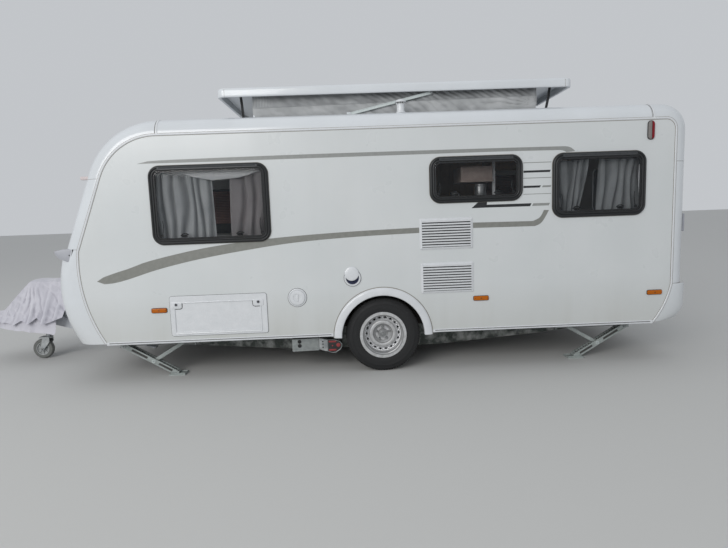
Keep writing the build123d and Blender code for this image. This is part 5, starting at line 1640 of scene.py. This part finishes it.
def cover_spot(u, v):
    """u runs along the drawbar and v from the near hem over the ridge to the far one."""
    x = COVER_X[0] + (COVER_X[1] - COVER_X[0]) * u
    side = -1 if v < 0.5 else 1
    climb = 1 - abs(v - 0.5) * 2
    low, high = half_widths(x)
    ridge, hem = read_line(COVER_RIDGE, x), read_line(COVER_HEM, x)
    turn = 0.72
    if climb < turn:
        t = climb / turn
        down = 1 - t
        spread = x + (x + 2640) * 0.22 * t if x < -2640 else x
        belly = -14 * sin(pi * t) * (1 if x > -3000 else 0.5)
        y = low + (high - low) * t ** 0.9 + belly + fold_out(spread, side) * down ** 1.15
        z = hem + (ridge - 26 - hem) * t
        wrinkle = 7 * drift(x / 70 + 3 * t, t * 3.0, side * 2.0) * sin(pi * t) ** 0.5
        # folds pulled down and forward from the high corner
        steep = atan2(x + 2740, 900 - z)
        pull = creased(steep * 4.2 + 0.7 * drift(x / 150, t * 1.6, side), 0.75)
        pulled = pull * 11.0 * sin(pi * clamp(t * 1.05))
        crush = 1 - abs(drift(x / 105 + z / 210, z / 80, side * 6.0)) * 2.6
        y += wrinkle * 0.6 + pulled + max(crush, -0.5) * 5.0 + 1.6 * drift(x / 26, t * 9, side * 4.0)
    else:
        t = (climb - turn) / (1 - turn)
        y = high * cos(t * pi / 2)
        z = ridge - 26 + 26 * sin(t * pi / 2)
        z += (4 * drift(x / 60, t * 2, 1.0) + 2 * drift(x / 22, t * 4, 7.0)) * t
        y += (1 - t) * 2.5 * drift(x / 26, 9, side * 4.0)
    nose = ease((-3200 - x) / 84)
    return (x, side * y * (1 - 0.35 * nose), z - 10 * nose)


def cover_painted_shade(u, v):
    """Painted shade: how far a point lies behind its neighbours along the drawbar, less on the ridge."""
    step = 0.018
    behind = 0.0
    for shift in (-step, step):
        behind += abs(cover_spot(clamp(u + shift), v)[1]) / 2
    return clamp(0.1 + (behind - abs(cover_spot(u, v)[1])) / 9.0) * (0.8 if abs(v - 0.5) > 0.08 else 0.2)


def skirt_spot(side):
    def spot(u, v):
        x = COVER_X[0] + 6 + (-2424 - COVER_X[0] - 6) * u
        low, high = half_widths(x)
        hem = read_line(SKIRT_HEM, x)
        top = read_line(COVER_HEM, x) + 62
        share = (top - read_line(COVER_HEM, x)) / max(read_line(COVER_RIDGE, x) - read_line(COVER_HEM, x), 60)
        inner = low + (high - low) * clamp(share) * (1 - v) - 22 + 10 * v
        wave = 11 * v * creased((x + 40 * drift(x / 120, v, side)) / 115.0, 0.9)
        wave += 4 * drift(x / 40, v * 2, side * 3.0)
        nose = ease((-3200 - x) / 84)
        y = (inner + wave + fold_out(x, side) * 0.25 * v) * (1 - 0.35 * nose)
        return (x, side * y, top + (hem - top) * v)
    return spot


def build_cover():
    cover = grid_cloth("cover_cloth", "cover", 220, 150, cover_spot, slot="cover_fabric", hollow=cover_painted_shade)
    left = grid_cloth("cover_skirt_left", "cover", 150, 16, skirt_spot(-1), slot="cover_fabric")
    right = grid_cloth("cover_skirt_right", "cover", 150, 16, skirt_spot(1), slot="cover_fabric")
    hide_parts("drawbar_cover")
    declare(cover, (1.0, 1.05))
    for skirt in (left, right):
        declare(skirt, (0.92, 0.16))


build_cover()

# Curtains: gathered voile, each a band between an upper and a lower edge
CURTAINS = {
    # side, upper edge from and to, lower edge from and to, tops' heights, hem height, pleat width
    "front_left_wide": (-1, -1104, -648, -1108, -636, (1722, 1682), 1150, 84),
    "front_left_sheer": (-1, -506, -180, -522, -190, (1676, 1752), 1150, 96),
    "rear_left_front": (-1, 2146, 2440, 2196, 2348, (1712, 1712), 1266, 60),
    "rear_left_rear": (-1, 2528, 2878, 2500, 2870, (1712, 1712), 1256, 84),
    "front_right_front": (1, -1312, -1120, -1312, -1090, (1722, 1700), 1150, 46),
    "front_right_rear": (1, -760, -512, -790, -512, (1700, 1722), 1150, 50),
    "rear_right_front": (1, 2150, 2420, 2150, 2390, (1712, 1712), 1262, 50),
    "rear_right_rear": (1, 2560, 2850, 2580, 2850, (1712, 1712), 1262, 50),
}


def build_curtains():
    for index, (name, (side, top0, top1, low0, low1, tops, hem, pleat)) in enumerate(CURTAINS.items()):
        width = (top1 - top0 + low1 - low0) / 2
        folds = max(3, round(width / pleat))
        seed = len(name) * 1.7

        def spot(u, v):
            ease_down = v ** 1.3
            left, right = top0 + (low0 - top0) * ease_down, top1 + (low1 - top1) * ease_down
            place = u + 0.35 / folds * drift(u * folds * 0.8, v * 1.2, seed)
            x = left + (right - left) * clamp(place)
            sag = tops[0] + (tops[1] - tops[0]) * u - 10 * sin(pi * u)
            z = sag + (hem - sag) * v
            phase = u * folds + 0.8 * drift(u * 4, v * 1.1, seed + 4)
            deep = 11.0 + 3.0 * v
            y = 1037 + deep * sin(2 * pi * phase) + 3.5 * sin(4 * pi * phase + 1.0 + 2 * v)
            y += 3 * drift(u * 9, v * 4, seed)
            return (x, side * y, z)

        # painted shade: the deeper a fold lies, the darker it is painted
        def hollow(u, v):
            return clamp((1041 - abs(spot(u, v)[1])) / 22.0) * 0.85

        # the rear windows take the voile darkened with painted shade
        cloth = "sheer" if name.endswith("sheer") else "voile_rear_in_shade" if name.startswith("rear") else "voile"
        piece = grid_cloth("curtain_" + name, cloth, folds * 20, 34, spot, slot="voile", hollow=hollow)
        if index == 0:
            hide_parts("curtains")
        tall = (sum(tops) / 2 - hem) * MM
        declare(piece, (round(cloth_area(piece) / tall, 3), tall * 1.02))
    wires = Piece("curtain_wires", "trim", slot="white_plastic")
    for side, x0, x1, z in ((-1, -1110, -200, 1724), (-1, 2120, 2870, 1714), (1, -1330, -490, 1724),
                            (1, 2130, 2870, 1714)):
        sag = 44 if x0 < 0 else 4.4
        path = [(x0 + (x1 - x0) * step / 16, side * 1037, z - sag * sin(pi * step / 16) + 4)
                for step in range(17)]
        wires.sweep(path, circle(2.2, 8), up=(0, 1, 0))
    wires.done()


build_curtains()


# Pleated blinds, drawn down at the far windows
def build_blinds():
    rails = Piece("blind_rails", "blind_dark", slot="white_plastic")
    for name, x0, x1, z0, z1, top, foot, shade in (("front", -1335, -485, 1262, 1655, 1790, 112, 0.7),
                                                   ("rear", 2125, 2870, 1250, 1722, 1765, 14, 0.9)):
        rails.box(x0, x1, 1006, 1032, z1 - 4, top, 4)
        rails.box(x0, x1, 1006, 1032, z0 - foot, z0 + 4, 4)
        pleats = round((z1 - z0) / 20)

        def zig(v):
            return abs((v * pleats) % 1.0 - 0.5) * 2

        def spot(u, v):
            return (x0 + 6 + (x1 - x0 - 12) * u, 1014 + 11 * zig(v), z0 + (z1 - z0) * v)

        # painted shade: darker in the valleys of the front blind's pleats, and all over on the rear blind
        def hollow(u, v):
            return clamp(1 - zig(v)) * shade if name == "front" else shade

        piece = grid_cloth(f"pleated_blind_{name}", "blind", 6, pleats * 4, spot, slot="voile", hollow=hollow)
        wide = (x1 - x0 - 12) * MM
        declare(piece, (wide, round(cloth_area(piece) / wide, 3) + 0.002))
    rails.done()


# What shows through the glass: blind cassettes, cupboards, a post by the kitchen
# Plain boxes of the cabin: x, y and z from and to, and the edge's rounding
CABIN_BOXES = (
    ("upper_cupboards", "board", "furniture_board", (
        (1100, 2000, 700, 1040, 1700, 1960, 4), (2100, 3060, 760, 1060, 1780, 1960, 4),
        (2100, 3060, -1060, -760, 1790, 1960, 4))),
    ("kitchen_post", "trim", "white_plastic", (
        (1676, 1700, -912, -888, 1290, 1960, 4), (1106, 1876, -1046, -1036, 1398, 1418, 3))),
    ("kitchen_hood", "hood", "white_plastic", (
        (1398, 1664, -960, -640, 1572, 1690, 6), (1392, 1670, -968, -640, 1560, 1576, 4))),
)
# Blind cassettes: side, x and z from and to
CASSETTES = ((-1, -1130, -190, 1676, 1790), (1, -1345, -475, 1676, 1790), (-1, 2115, 2880, 1722, 1765),
             (1, 2115, 2880, 1722, 1765), (-1, 1112, 1868, 1752, 1775))
VALANCE = [(-1136, 1742), (-1098, 1731), (-866, 1703), (-790, 1672), (-637, 1640), (-425, 1656), (-276, 1699),
           (-186, 1712)]
TAP_PATH = [(1350, -900, 1290), (1350, -900, 1400), (1352, -895, 1450), (1375, -870, 1478),
            (1400, -840, 1470), (1405, -832, 1440)]


def build_interior():
    blind = Piece("blind_cassettes", "trim", slot="white_plastic")
    for side, x0, x1, z0, z1 in CASSETTES:
        blind.side_box(side, x0, x1, 1000, 1022, z0, z1, 5)
    # a cream valance that sags below the cassette of the near front window
    for pair in zip(VALANCE, VALANCE[1:]):
        blind.loft([[(x, -1062, z), (x, -1066, z + 5), (x, -1066, 1790), (x, -1060, 1790)] for x, z in pair])
    blind.done()
    build_blinds()
    for name, finish, slot, boxes in CABIN_BOXES:
        piece = Piece(name, finish, slot=slot)
        for box in boxes:
            piece.box(*box)
        piece.done()
    jar = Piece("kitchen_jar", "steel", slot="rim_silver")
    jar.turned([(46, 1440), (47, 1444), (47, 1520), (44, 1526), (40, 1528), (40, 1540), (36, 1543)],
               (1563, -940, 0), (0, 0, 1), 32)
    jar.turned([(15, 1440), (16, 1444), (16, 1486), (12, 1489)], (1338, -985, 0), (0, 0, 1), 24)
    jar.box(1300, 1700, -1000, -880, 1428, 1440, 3)
    jar.done()
    tap = Piece("kitchen_tap", "steel", slot="rim_silver")
    smooth = [Vector(TAP_PATH[0])]
    for a, b in zip(TAP_PATH, TAP_PATH[1:]):
        smooth += [Vector(a).lerp(Vector(b), share) for share in (0.34, 0.67, 1.0)]
    tap.sweep(smooth, circle(9, 12), up=(0, 1, 0))
    tap.turned([(22, 0), (22, 6), (14, 12)], (1350, -900, 1290), (0, 0, 1), 24)
    tap.done()


build_interior()

# Manoeuvring drives: a galvanised box, a bracket and a black gear housing ahead of each tyre
DRIVE_BOX = ((-75, 290), (152, 293), (152, 204), (-75, 200))
DRIVE_LIP = ((-75, 199), (152, 203), (152, 186), (-75, 182))
DRIVE_BRACKET = ((154, 292), (224, 277), (226, 176), (205, 178), (154, 196))
DRIVE_HOUSING = ((226, 287), (283, 284), (330, 269), (350, 246), (350, 222), (338, 200), (297, 172),
                 (262, 169), (226, 182))


def build_drives():
    box = Piece("drive_boxes", "mover", slot="mover_grey")
    dark = Piece("drive_housings", "black", slot="mover_grey")
    rim = Piece("drive_housing_edges", "mover", slot="galvanised")
    bolts = Piece("drive_bolts", "black", slot="galvanised")
    bracket = Piece("drive_brackets", "zinc", slot="galvanised")
    patch = Piece("drive_patches_red", "drive_red", slot="galvanised")
    middle = (285, 228)
    for side in (-1, 1):
        out = (0, side, 0)
        outlined(box, DRIVE_BOX, side, 852, 1009, 2.5)
        outlined(box, DRIVE_LIP, side, 852, 1003, 1.0)
        outlined(bracket, DRIVE_BRACKET, side, 998, 1009, 1.5)
        bracket.side_box(side, 214, 225, 1007, 1013, 178, 277, 1.5)
        for z in (212, 240, 262):
            bolts.turned([(6, 0), (6, 1.5), (4, 3)], (186, side * 1009, z), out, 14)
        outlined(dark, DRIVE_HOUSING, side, 1004, 1040, 4.0)
        path = [(middle[0] + (x - middle[0]) * 0.955, side * 1040, middle[1] + (z - middle[1]) * 0.955)
                for x, z in DRIVE_HOUSING]
        rim.sweep(path, circle(2.6, 8), closed=True, up=(0, 1, 0))
        for z in (267, 195):
            patch.side_box(side, 238, 300, 1039, 1041.5, z - 7, z + 7, 1)
        patch.turned([(17, -1), (17, 1), (15, 1.6)], (318, side * 1040, 236), out, 28)
        patch.turned([(6, -1), (6, 1.8), (5, 2.2)], (268, side * 1040, 231), out, 16)
        for z in (269, 233):
            bolts.turned([(16, 0), (16, 4), (14, 6.5), (9, 7.5), (7.5, 4)], (-12, side * 1009, z), out, 28)
        rim.turned([(8, 0), (42, 0), (44, 3), (44, 112), (42, 115), (8, 115)], (300, side * 884, 235), out,
                   40)
        bracket.side_box(side, 20, 110, 822, 853, 190, 282, 3)
        for x in (28, 84):
            bracket.side_box(side, x, x + 18, 812, 824, 176, 196, 2)
        # the supply cable loops from the housing up behind the skirt
        loop = [(236, 990, 286), (262, 985, 306), (300, 975, 312), (330, 950, 300), (338, 905, 262)]
        bolts.sweep(curve([(x, side * y, z) for x, y, z in loop], 4), circle(4.5, 8))
    box.done("manoeuvring_drives")
    finish_all(dark, rim, bracket, bolts, patch)
    for label, y in (("", -998), ("_right", 886)):
        tooth = Piece("drive_roller_teeth" + label, "zinc_dark", slot="galvanised")
        tooth.loft([[(x, along, z) for x, z in ((-3, 43.6), (3, 43.6), (1.6, 46.4), (-1.6, 46.4))]
                    for along in (2, 110)])
        repeat(tooth, AROUND, 24, centre=(300, y, 235))


build_drives()

# Corner steadies: threads, nuts, pins and feet
STEADY_Y = 895.0
STEADY_TOP = 276.0
STEADY_TURN = radians(30.51)
STEADIES = {"front": (-1534.0, 1), "rear": (2840.0, -1)}


def along_bar(piece, start, way, turn, reach0, reach1, low, high, y0, y1, bevel=1.0):
    """A plate along a leg that leaves its pivot downward at the turn; low and high are across the leg."""
    place = basis((start[0], 0, start[1]), (way * cos(turn), 0, -sin(turn)), (way * sin(turn), 0, cos(turn)))
    y0, y1 = sorted((-way * y0, -way * y1))
    piece.box(reach0, reach1, low, high, y0, y1, bevel, place)


# Out from the pivot: the leg's foot, the brace's hinge along the leg, and the spindle's end
STEADY_LENGTH, STEADY_BRACE, SPINDLE_END = 520, 290, 622
PIN_RING = [(16.5, 0), (16.5, 2.5), (15, 4), (12, 4), (11, 2), (10, 2), (9.5, 3.4), (5, 3), (5, 0)]


def build_steady(label, pivot_x, way, y):
    foot_x = pivot_x + way * STEADY_LENGTH * cos(STEADY_TURN)
    pin = (pivot_x + way * STEADY_BRACE * cos(STEADY_TURN), STEADY_TOP - STEADY_BRACE * sin(STEADY_TURN))
    nut_x = pivot_x + way * 2 * STEADY_BRACE * cos(STEADY_TURN)
    pivot = (pivot_x, STEADY_TOP)
    leg = Piece(f"leg_fittings_{label}", "zinc_soft", f"steady_{label}", "galvanised")
    slots = Piece(f"leg_slots_{label}", "gap", f"steady_{label}", "galvanised")
    rings = Piece(f"leg_pin_rings_{label}", "lever", f"steady_{label}", "galvanised")

    def bar(piece, reach, low, high, near, far, bevel=1.0):
        along_bar(piece, pivot, way, STEADY_TURN, *reach, low, high, *sorted((y + near, y + far)), bevel)

    for cheek in (-1, 1):
        # pressed side plates: two rails joined round two long slots
        for low, high in ((-20, -9), (13, 24)):
            bar(leg, (-18, 500), low, high, cheek * 31, cheek * 34)
        for reach in ((-18, 78), (232, 336), (470, 504)):
            bar(leg, reach, -12, 16, cheek * 31, cheek * 34)
        # turned-in lips along the top, with the punched row
        bar(leg, (20, 505), 21, 24, cheek * 18, cheek * 32)
        # painted shade: dark patches in the long slots and the punched holes stand for the shade inside the
        # leg's channel
        for reach in ((82, 228), (340, 466)):
            bar(slots, reach, -7, 11, cheek * 30.2, cheek * 31.6, 0.3)
        for inner, outer, low, high in ((21, 29, 22, 24.4), (23.4, 25, 3, 12)):
            for step in range(17):
                bar(slots, (40 + 27 * step, 54 + 27 * step), low, high, cheek * inner, cheek * outer, 0.3)
        for x, z in (pin, pivot):
            rings.turned(PIN_RING, (x, y + cheek * 34, z), (0, cheek, 0), 24)
    for reach in ((46, 258), (318, 492)):
        bar(leg, reach, -15.5, -12.5, -26, 26)
    for cheek in (-1, 1):
        bar(leg, (30, 500), 13.4, 16.4, cheek * 23, cheek * 31)
        spot = y + cheek * 44
        leg.turned([(14, 0), (14, 2), (12, 3)], (pivot_x, spot, STEADY_TOP), (0, cheek, 0), 20)
        leg.hexagon((pivot_x, spot + cheek * 2, STEADY_TOP), (pivot_x, spot + cheek * 9, STEADY_TOP), 17, 1.2)
        leg.box(foot_x - 62, foot_x + 62, y + cheek * 40 - 2, y + cheek * 40 + 2, 11, 19, 1)
    for x in (foot_x - 64, foot_x + 64):
        leg.box(x - 3, x + 3, y - 50, y + 50, 11, 16, 1)
    leg.turned([(11, 0), (11, 62)], (foot_x, y - 31, 24), (0, 1, 0), 20)
    finish_all(leg, slots, rings)
    brace = Piece(f"brace_fittings_{label}", "zinc_soft", f"brace_{label}", "galvanised")
    span = hypot(nut_x - pin[0], STEADY_TOP - pin[1])
    fall = atan2(STEADY_TOP - pin[1], abs(nut_x - pin[0]))
    for cheek in (-1, 1):
        edge = sorted((y + cheek * 12.8, y + cheek * 15.6))
        along_bar(brace, (nut_x, STEADY_TOP), -way, fall, -14, span + 14, -15, 15, *edge, 1.2)
        for x, z in ((nut_x, STEADY_TOP), pin):
            brace.turned([(13, 0), (13, 6), (11, 8)], (x, y + cheek * 12.5, z), (0, cheek, 0), 24)
    brace.done()
    spindle = Piece(f"spindle_end_{label}", "steel", slot="galvanised")
    end_x = pivot_x + way * SPINDLE_END
    spindle.hexagon((end_x + way * 2, y, STEADY_TOP), (end_x + way * 16, y, STEADY_TOP), 19, 1.5)
    spindle.turned([(14, 0), (14, 3), (11, 5)], (end_x - way * 6, y, STEADY_TOP), (-way, 0, 0), 24)
    for x in (pivot_x + way * 90, pivot_x + way * 520):
        for across in (-22, 22):
            spindle.turned([(9, 0), (9, 2), (7, 2.5)], (x, y + across, 317.5), (0, 0, -1), 16)
            spindle.hexagon((x, y + across, 315.5), (x, y + across, 309.5), 12, 1)
    spindle.done()
    thread = Piece(f"spindle_thread_{label}", "steel", slot="galvanised", sharp=25)
    thread.turned([(7.8, 0), (8.9, 1.6), (8.9, 2.2), (7.8, 3.6)], (0, 0, 0), (1, 0, 0), 12)
    begin = pivot_x + (48 if way > 0 else -616)
    repeat(thread, ALONG, 112, step=(5, 0, 0), centre=(begin, y, STEADY_TOP))


def build_steadies():
    for end, (pivot_x, way) in STEADIES.items():
        for name, side in SIDES.items():
            build_steady(f"{end}_{name}", pivot_x, way, side * STEADY_Y)


build_steadies()

# Jockey wheel, handbrake grip, the drawbar's bolts and its boot
JOCKEY = (-2670, -150, 100)


def build_drawbar_details():
    tyre = Piece("jockey_tyre", "rubber_grey", "jockey_wheel", "jockey_rubber")
    section = [(62, 23), (70, 25.5), (84, 27), (93, 23.5), (98.4, 15), (100, 5)]
    section += [(radius, -out) for radius, out in section[::-1]]
    tyre.turned(section[::-1], JOCKEY, (0, -1, 0), 64, "ring")
    tyre.done("jockey_wheel")
    hub = Piece("jockey_hub", "hub_grey", "jockey_wheel", "grey_plastic")
    disc = [(8, 27), (17, 27), (18, 25), (19, 14), (46, 10), (54, 12), (57, 24), (61, 25.5), (64, 23.5)]
    hub.turned([(r, -a) for r, a in disc] + disc[::-1], JOCKEY, (0, -1, 0), 64, "ring")
    hub.done()
    spoke = Piece("jockey_spokes", "hub_grey", "jockey_wheel", "grey_plastic")
    spoke.loft([[(x, y, z) for x, y in ((-2.6, -19), (2.6, -19), (2.6, 19), (-2.6, 19))] for z in (17, 57)])
    repeat(spoke, AROUND, 8, centre=JOCKEY)
    pins = Piece("jockey_axle_nuts", "steel", "jockey_swivel", "galvanised")
    for way in (-1, 1):
        pins.turned([(14, 0), (14, 2), (12, 2.6)], (-2670, -150 + way * 40, 100), (0, way, 0), 24)
        pins.hexagon((-2670, -150 + way * 42, 100), (-2670, -150 + way * 50, 100), 17, 1.4)
    pins.turned([(36, 0), (36, 2.4), (33, 3.6)], (-2610, -150, 221), (0, 0, 1), 40)
    pins.done()
    grip = Piece("handbrake_grip", "black", "handbrake", "brake_black")
    grip.turned([(10, 0), (15.4, 3), (16.6, 12), (15.2, 30), (16.6, 48), (15.2, 66), (16.6, 84), (15.6, 97),
                 (11, 102.5)],
                (-2560, 86, 643), (0, 0, 1), 28)
    grip.turned([(5.5, 0), (5.5, 5), (4.5, 6.5)], (-2560, 86, 744), (0, 0, 1), 16)
    grip.done()
    fittings = Piece("drawbar_fittings", "steel", slot="galvanised")
    for x in (-2930, -2740, -2520):
        for way in (-1, 1):
            fittings.turned([(13, 0), (13, 2), (11, 3)], (x, way * 60, 410), (0, way, 0), 20)
            fittings.hexagon((x, way * 62, 410), (x, way * 70, 410), 18, 1.4)
    fittings.done()
    boot = Piece("drawbar_boot", "black", slot="galvanised")
    folds = [(0, 0), (34, 0), (36, 20), (30, 30), (36, 40), (30, 50), (35, 60), (28, 70)]
    boot.turned(folds, (-2955, 0, 415), (-1, 0, 0), 32)
    boot.done()


build_drawbar_details()


# Rear lamps, plate surround, reflectors
def build_rear_details():
    base = Piece("lamp_bases", "black", slot="red_lens")
    red = Piece("lamp_lenses_red", "red", slot="red_lens")
    amber = Piece("lamp_lenses_amber", "amber", slot="red_lens")
    clear = Piece("lamp_lenses_clear", "clear", slot="red_lens")
    dome = [(0, 9), (0.6, 17), (4, 22.5), (10, 25), (20, 25.8)]
    for side in (-1, 1):
        for z0, z1 in ((690, 860), (880, 1010)):
            base.plate(150, z1 - z0, 16, [(0, 0.2), (0, 8), (2, 11)], rear_place(side * 865, (z0 + z1) / 2),
                       6)
        for piece, z0, z1 in ((red, 694, 772), (clear, 776, 856), (amber, 884, 944), (red, 948, 1006)):
            piece.plate(142, z1 - z0, 12, dome, rear_place(side * 865, (z0 + z1) / 2), 6)
        red.outline([(-62, -34), (62, -34), (0, 66)], -2.0, 0.6, rear_place(side * 700, 560, 3289), 0.5)
    high = rear_place(0, 1930)
    base.plate(300, 34, 12, [(0, 0.2), (0, 6), (2, 8)], high, 5)
    red.plate(290, 26, 9, [(0, 6), (0.6, 11), (3, 14), (8, 15)], high, 5)
    base.done("rear_lamps")
    finish_all(red, amber, clear)
    surround = Piece("plate_surround", "black", slot="white_plastic")
    lamps = Piece("plate_lamps", "clear", slot="white_plastic")
    place = rear_place(0, 785)
    surround.ring(560, 150, 10, [(-2, 0.2), (-2, 6), (2, 13), (8, 13.5), (11, 12.2), (11, 0.2)], place, 5)
    for y in (-170, 170):
        surround.box(y - 34, y + 34, 84, 108, 0.2, 20, 4, place)
        lamps.box(y - 26, y + 26, 80, 86, 4, 17, 2, place)
    finish_all(surround, lamps)


build_rear_details()


# Entrance door: its seal, its pressed panel and its lock
def build_door_details():
    place = wall_basis(1, -90, 1195)
    seal = Piece("door_seal", "seal", slot="white_skin")
    seal.ring(578, 1598, 76, [(-1, 0.1), (-1, 3.4), (2, 4.6), (6, 3.4), (8, 0.1)], place, 8)
    seal.done()
    panel = Piece("door_mouldings", "trim", "entrance_door", "white_skin")
    lower = wall_basis(1, -90, 790)
    panel.ring(400, 560, 40, [(0, 0.2), (0, 2), (5, 5), (12, 6.4), (20, 5), (24, 2), (24, 0.2)], lower, 8)
    panel.done()
    lock = Piece("door_lock", "black", "entrance_door", "brake_black")
    spot = wall_basis(1, -318, 1150)
    lock.plate(64, 190, 20, [(0, 0.2), (0, 6), (3, 10), (8, 11.5)], spot, 8)
    lock.box(-12, 12, -66, 12, 10, 20, 5, spot)
    lock.turned([(11, 0), (11, 3), (9, 4.5)], spot @ Vector((0, 58, 10.5)), (0, 1, 0), 24)
    lock.done()


build_door_details()


# Bolts on the brake backplates
def build_backplates():
    plate = Piece("brake_backplate_bolts", "steel", slot="galvanised")
    for side in (-1, 1):
        for step in range(4):
            angle = radians(45 + 90 * step)
            x, z = AXLE[0] + 74 * cos(angle), AXLE[1] + 74 * sin(angle)
            plate.hexagon((x, side * 850, z), (x, side * 843, z), 15, 1)
        for x, z in ((AXLE[0] - 46, AXLE[1] + 84), (AXLE[0] + 60, AXLE[1] - 84)):
            plate.turned([(9, 0), (9, 10), (7, 12)], (x, side * 850, z), (0, -side, 0), 16)
    plate.done()


build_backplates()


# Studio: a pale floor, a big soft key from the photo's side, a weak top light and the sky
def light(name, place, aim, size, power, colour=(1.0, 1.0, 1.0)):
    data = bpy.data.lights.new(name, "AREA")
    data.shape = "RECTANGLE"
    data.size, data.size_y = size
    data.energy = power
    data.color = colour
    lamp = bpy.data.objects.new(name, data)
    lamp.location = place
    lamp.rotation_euler = (Vector(aim) - Vector(place)).to_track_quat("-Z", "Y").to_euler()
    scene.collection.objects.link(lamp)


def build_studio():
    mesh = bpy.data.meshes.new("studio_floor")
    reach = 60.0
    mesh.from_pydata([(-reach, -reach, 0), (reach, -reach, 0), (reach, reach, 0), (-reach, reach, 0)], [],
                     [(0, 1, 2, 3)])
    floor = bpy.data.objects.new("studio_floor", mesh)
    scene.collection.objects.link(floor)
    finish = Finish("studio_floor_paint", Roughness=0.85)
    finish.set("Base Color", paint("C6C6C4"))
    mesh.materials.append(finish.material)
    light("key", (-6.5, -12.5, 6.6), (-0.2, 0.0, 1.1), (9.0, 6.5), 960.0, (1.0, 0.99, 0.97))
    light("top", (0.5, 1.0, 9.5), (0.2, 0.0, 1.5), (9.0, 7.0), 30.0)
    world = bpy.data.worlds.new("studio")
    scene.world = world
    world.use_nodes = True
    world.node_tree.nodes["Background"].inputs["Color"].default_value = (0.86, 0.89, 0.93, 1.0)
    world.node_tree.nodes["Background"].inputs["Strength"].default_value = 0.63
    scene.view_settings.view_transform = "Standard"


build_studio()
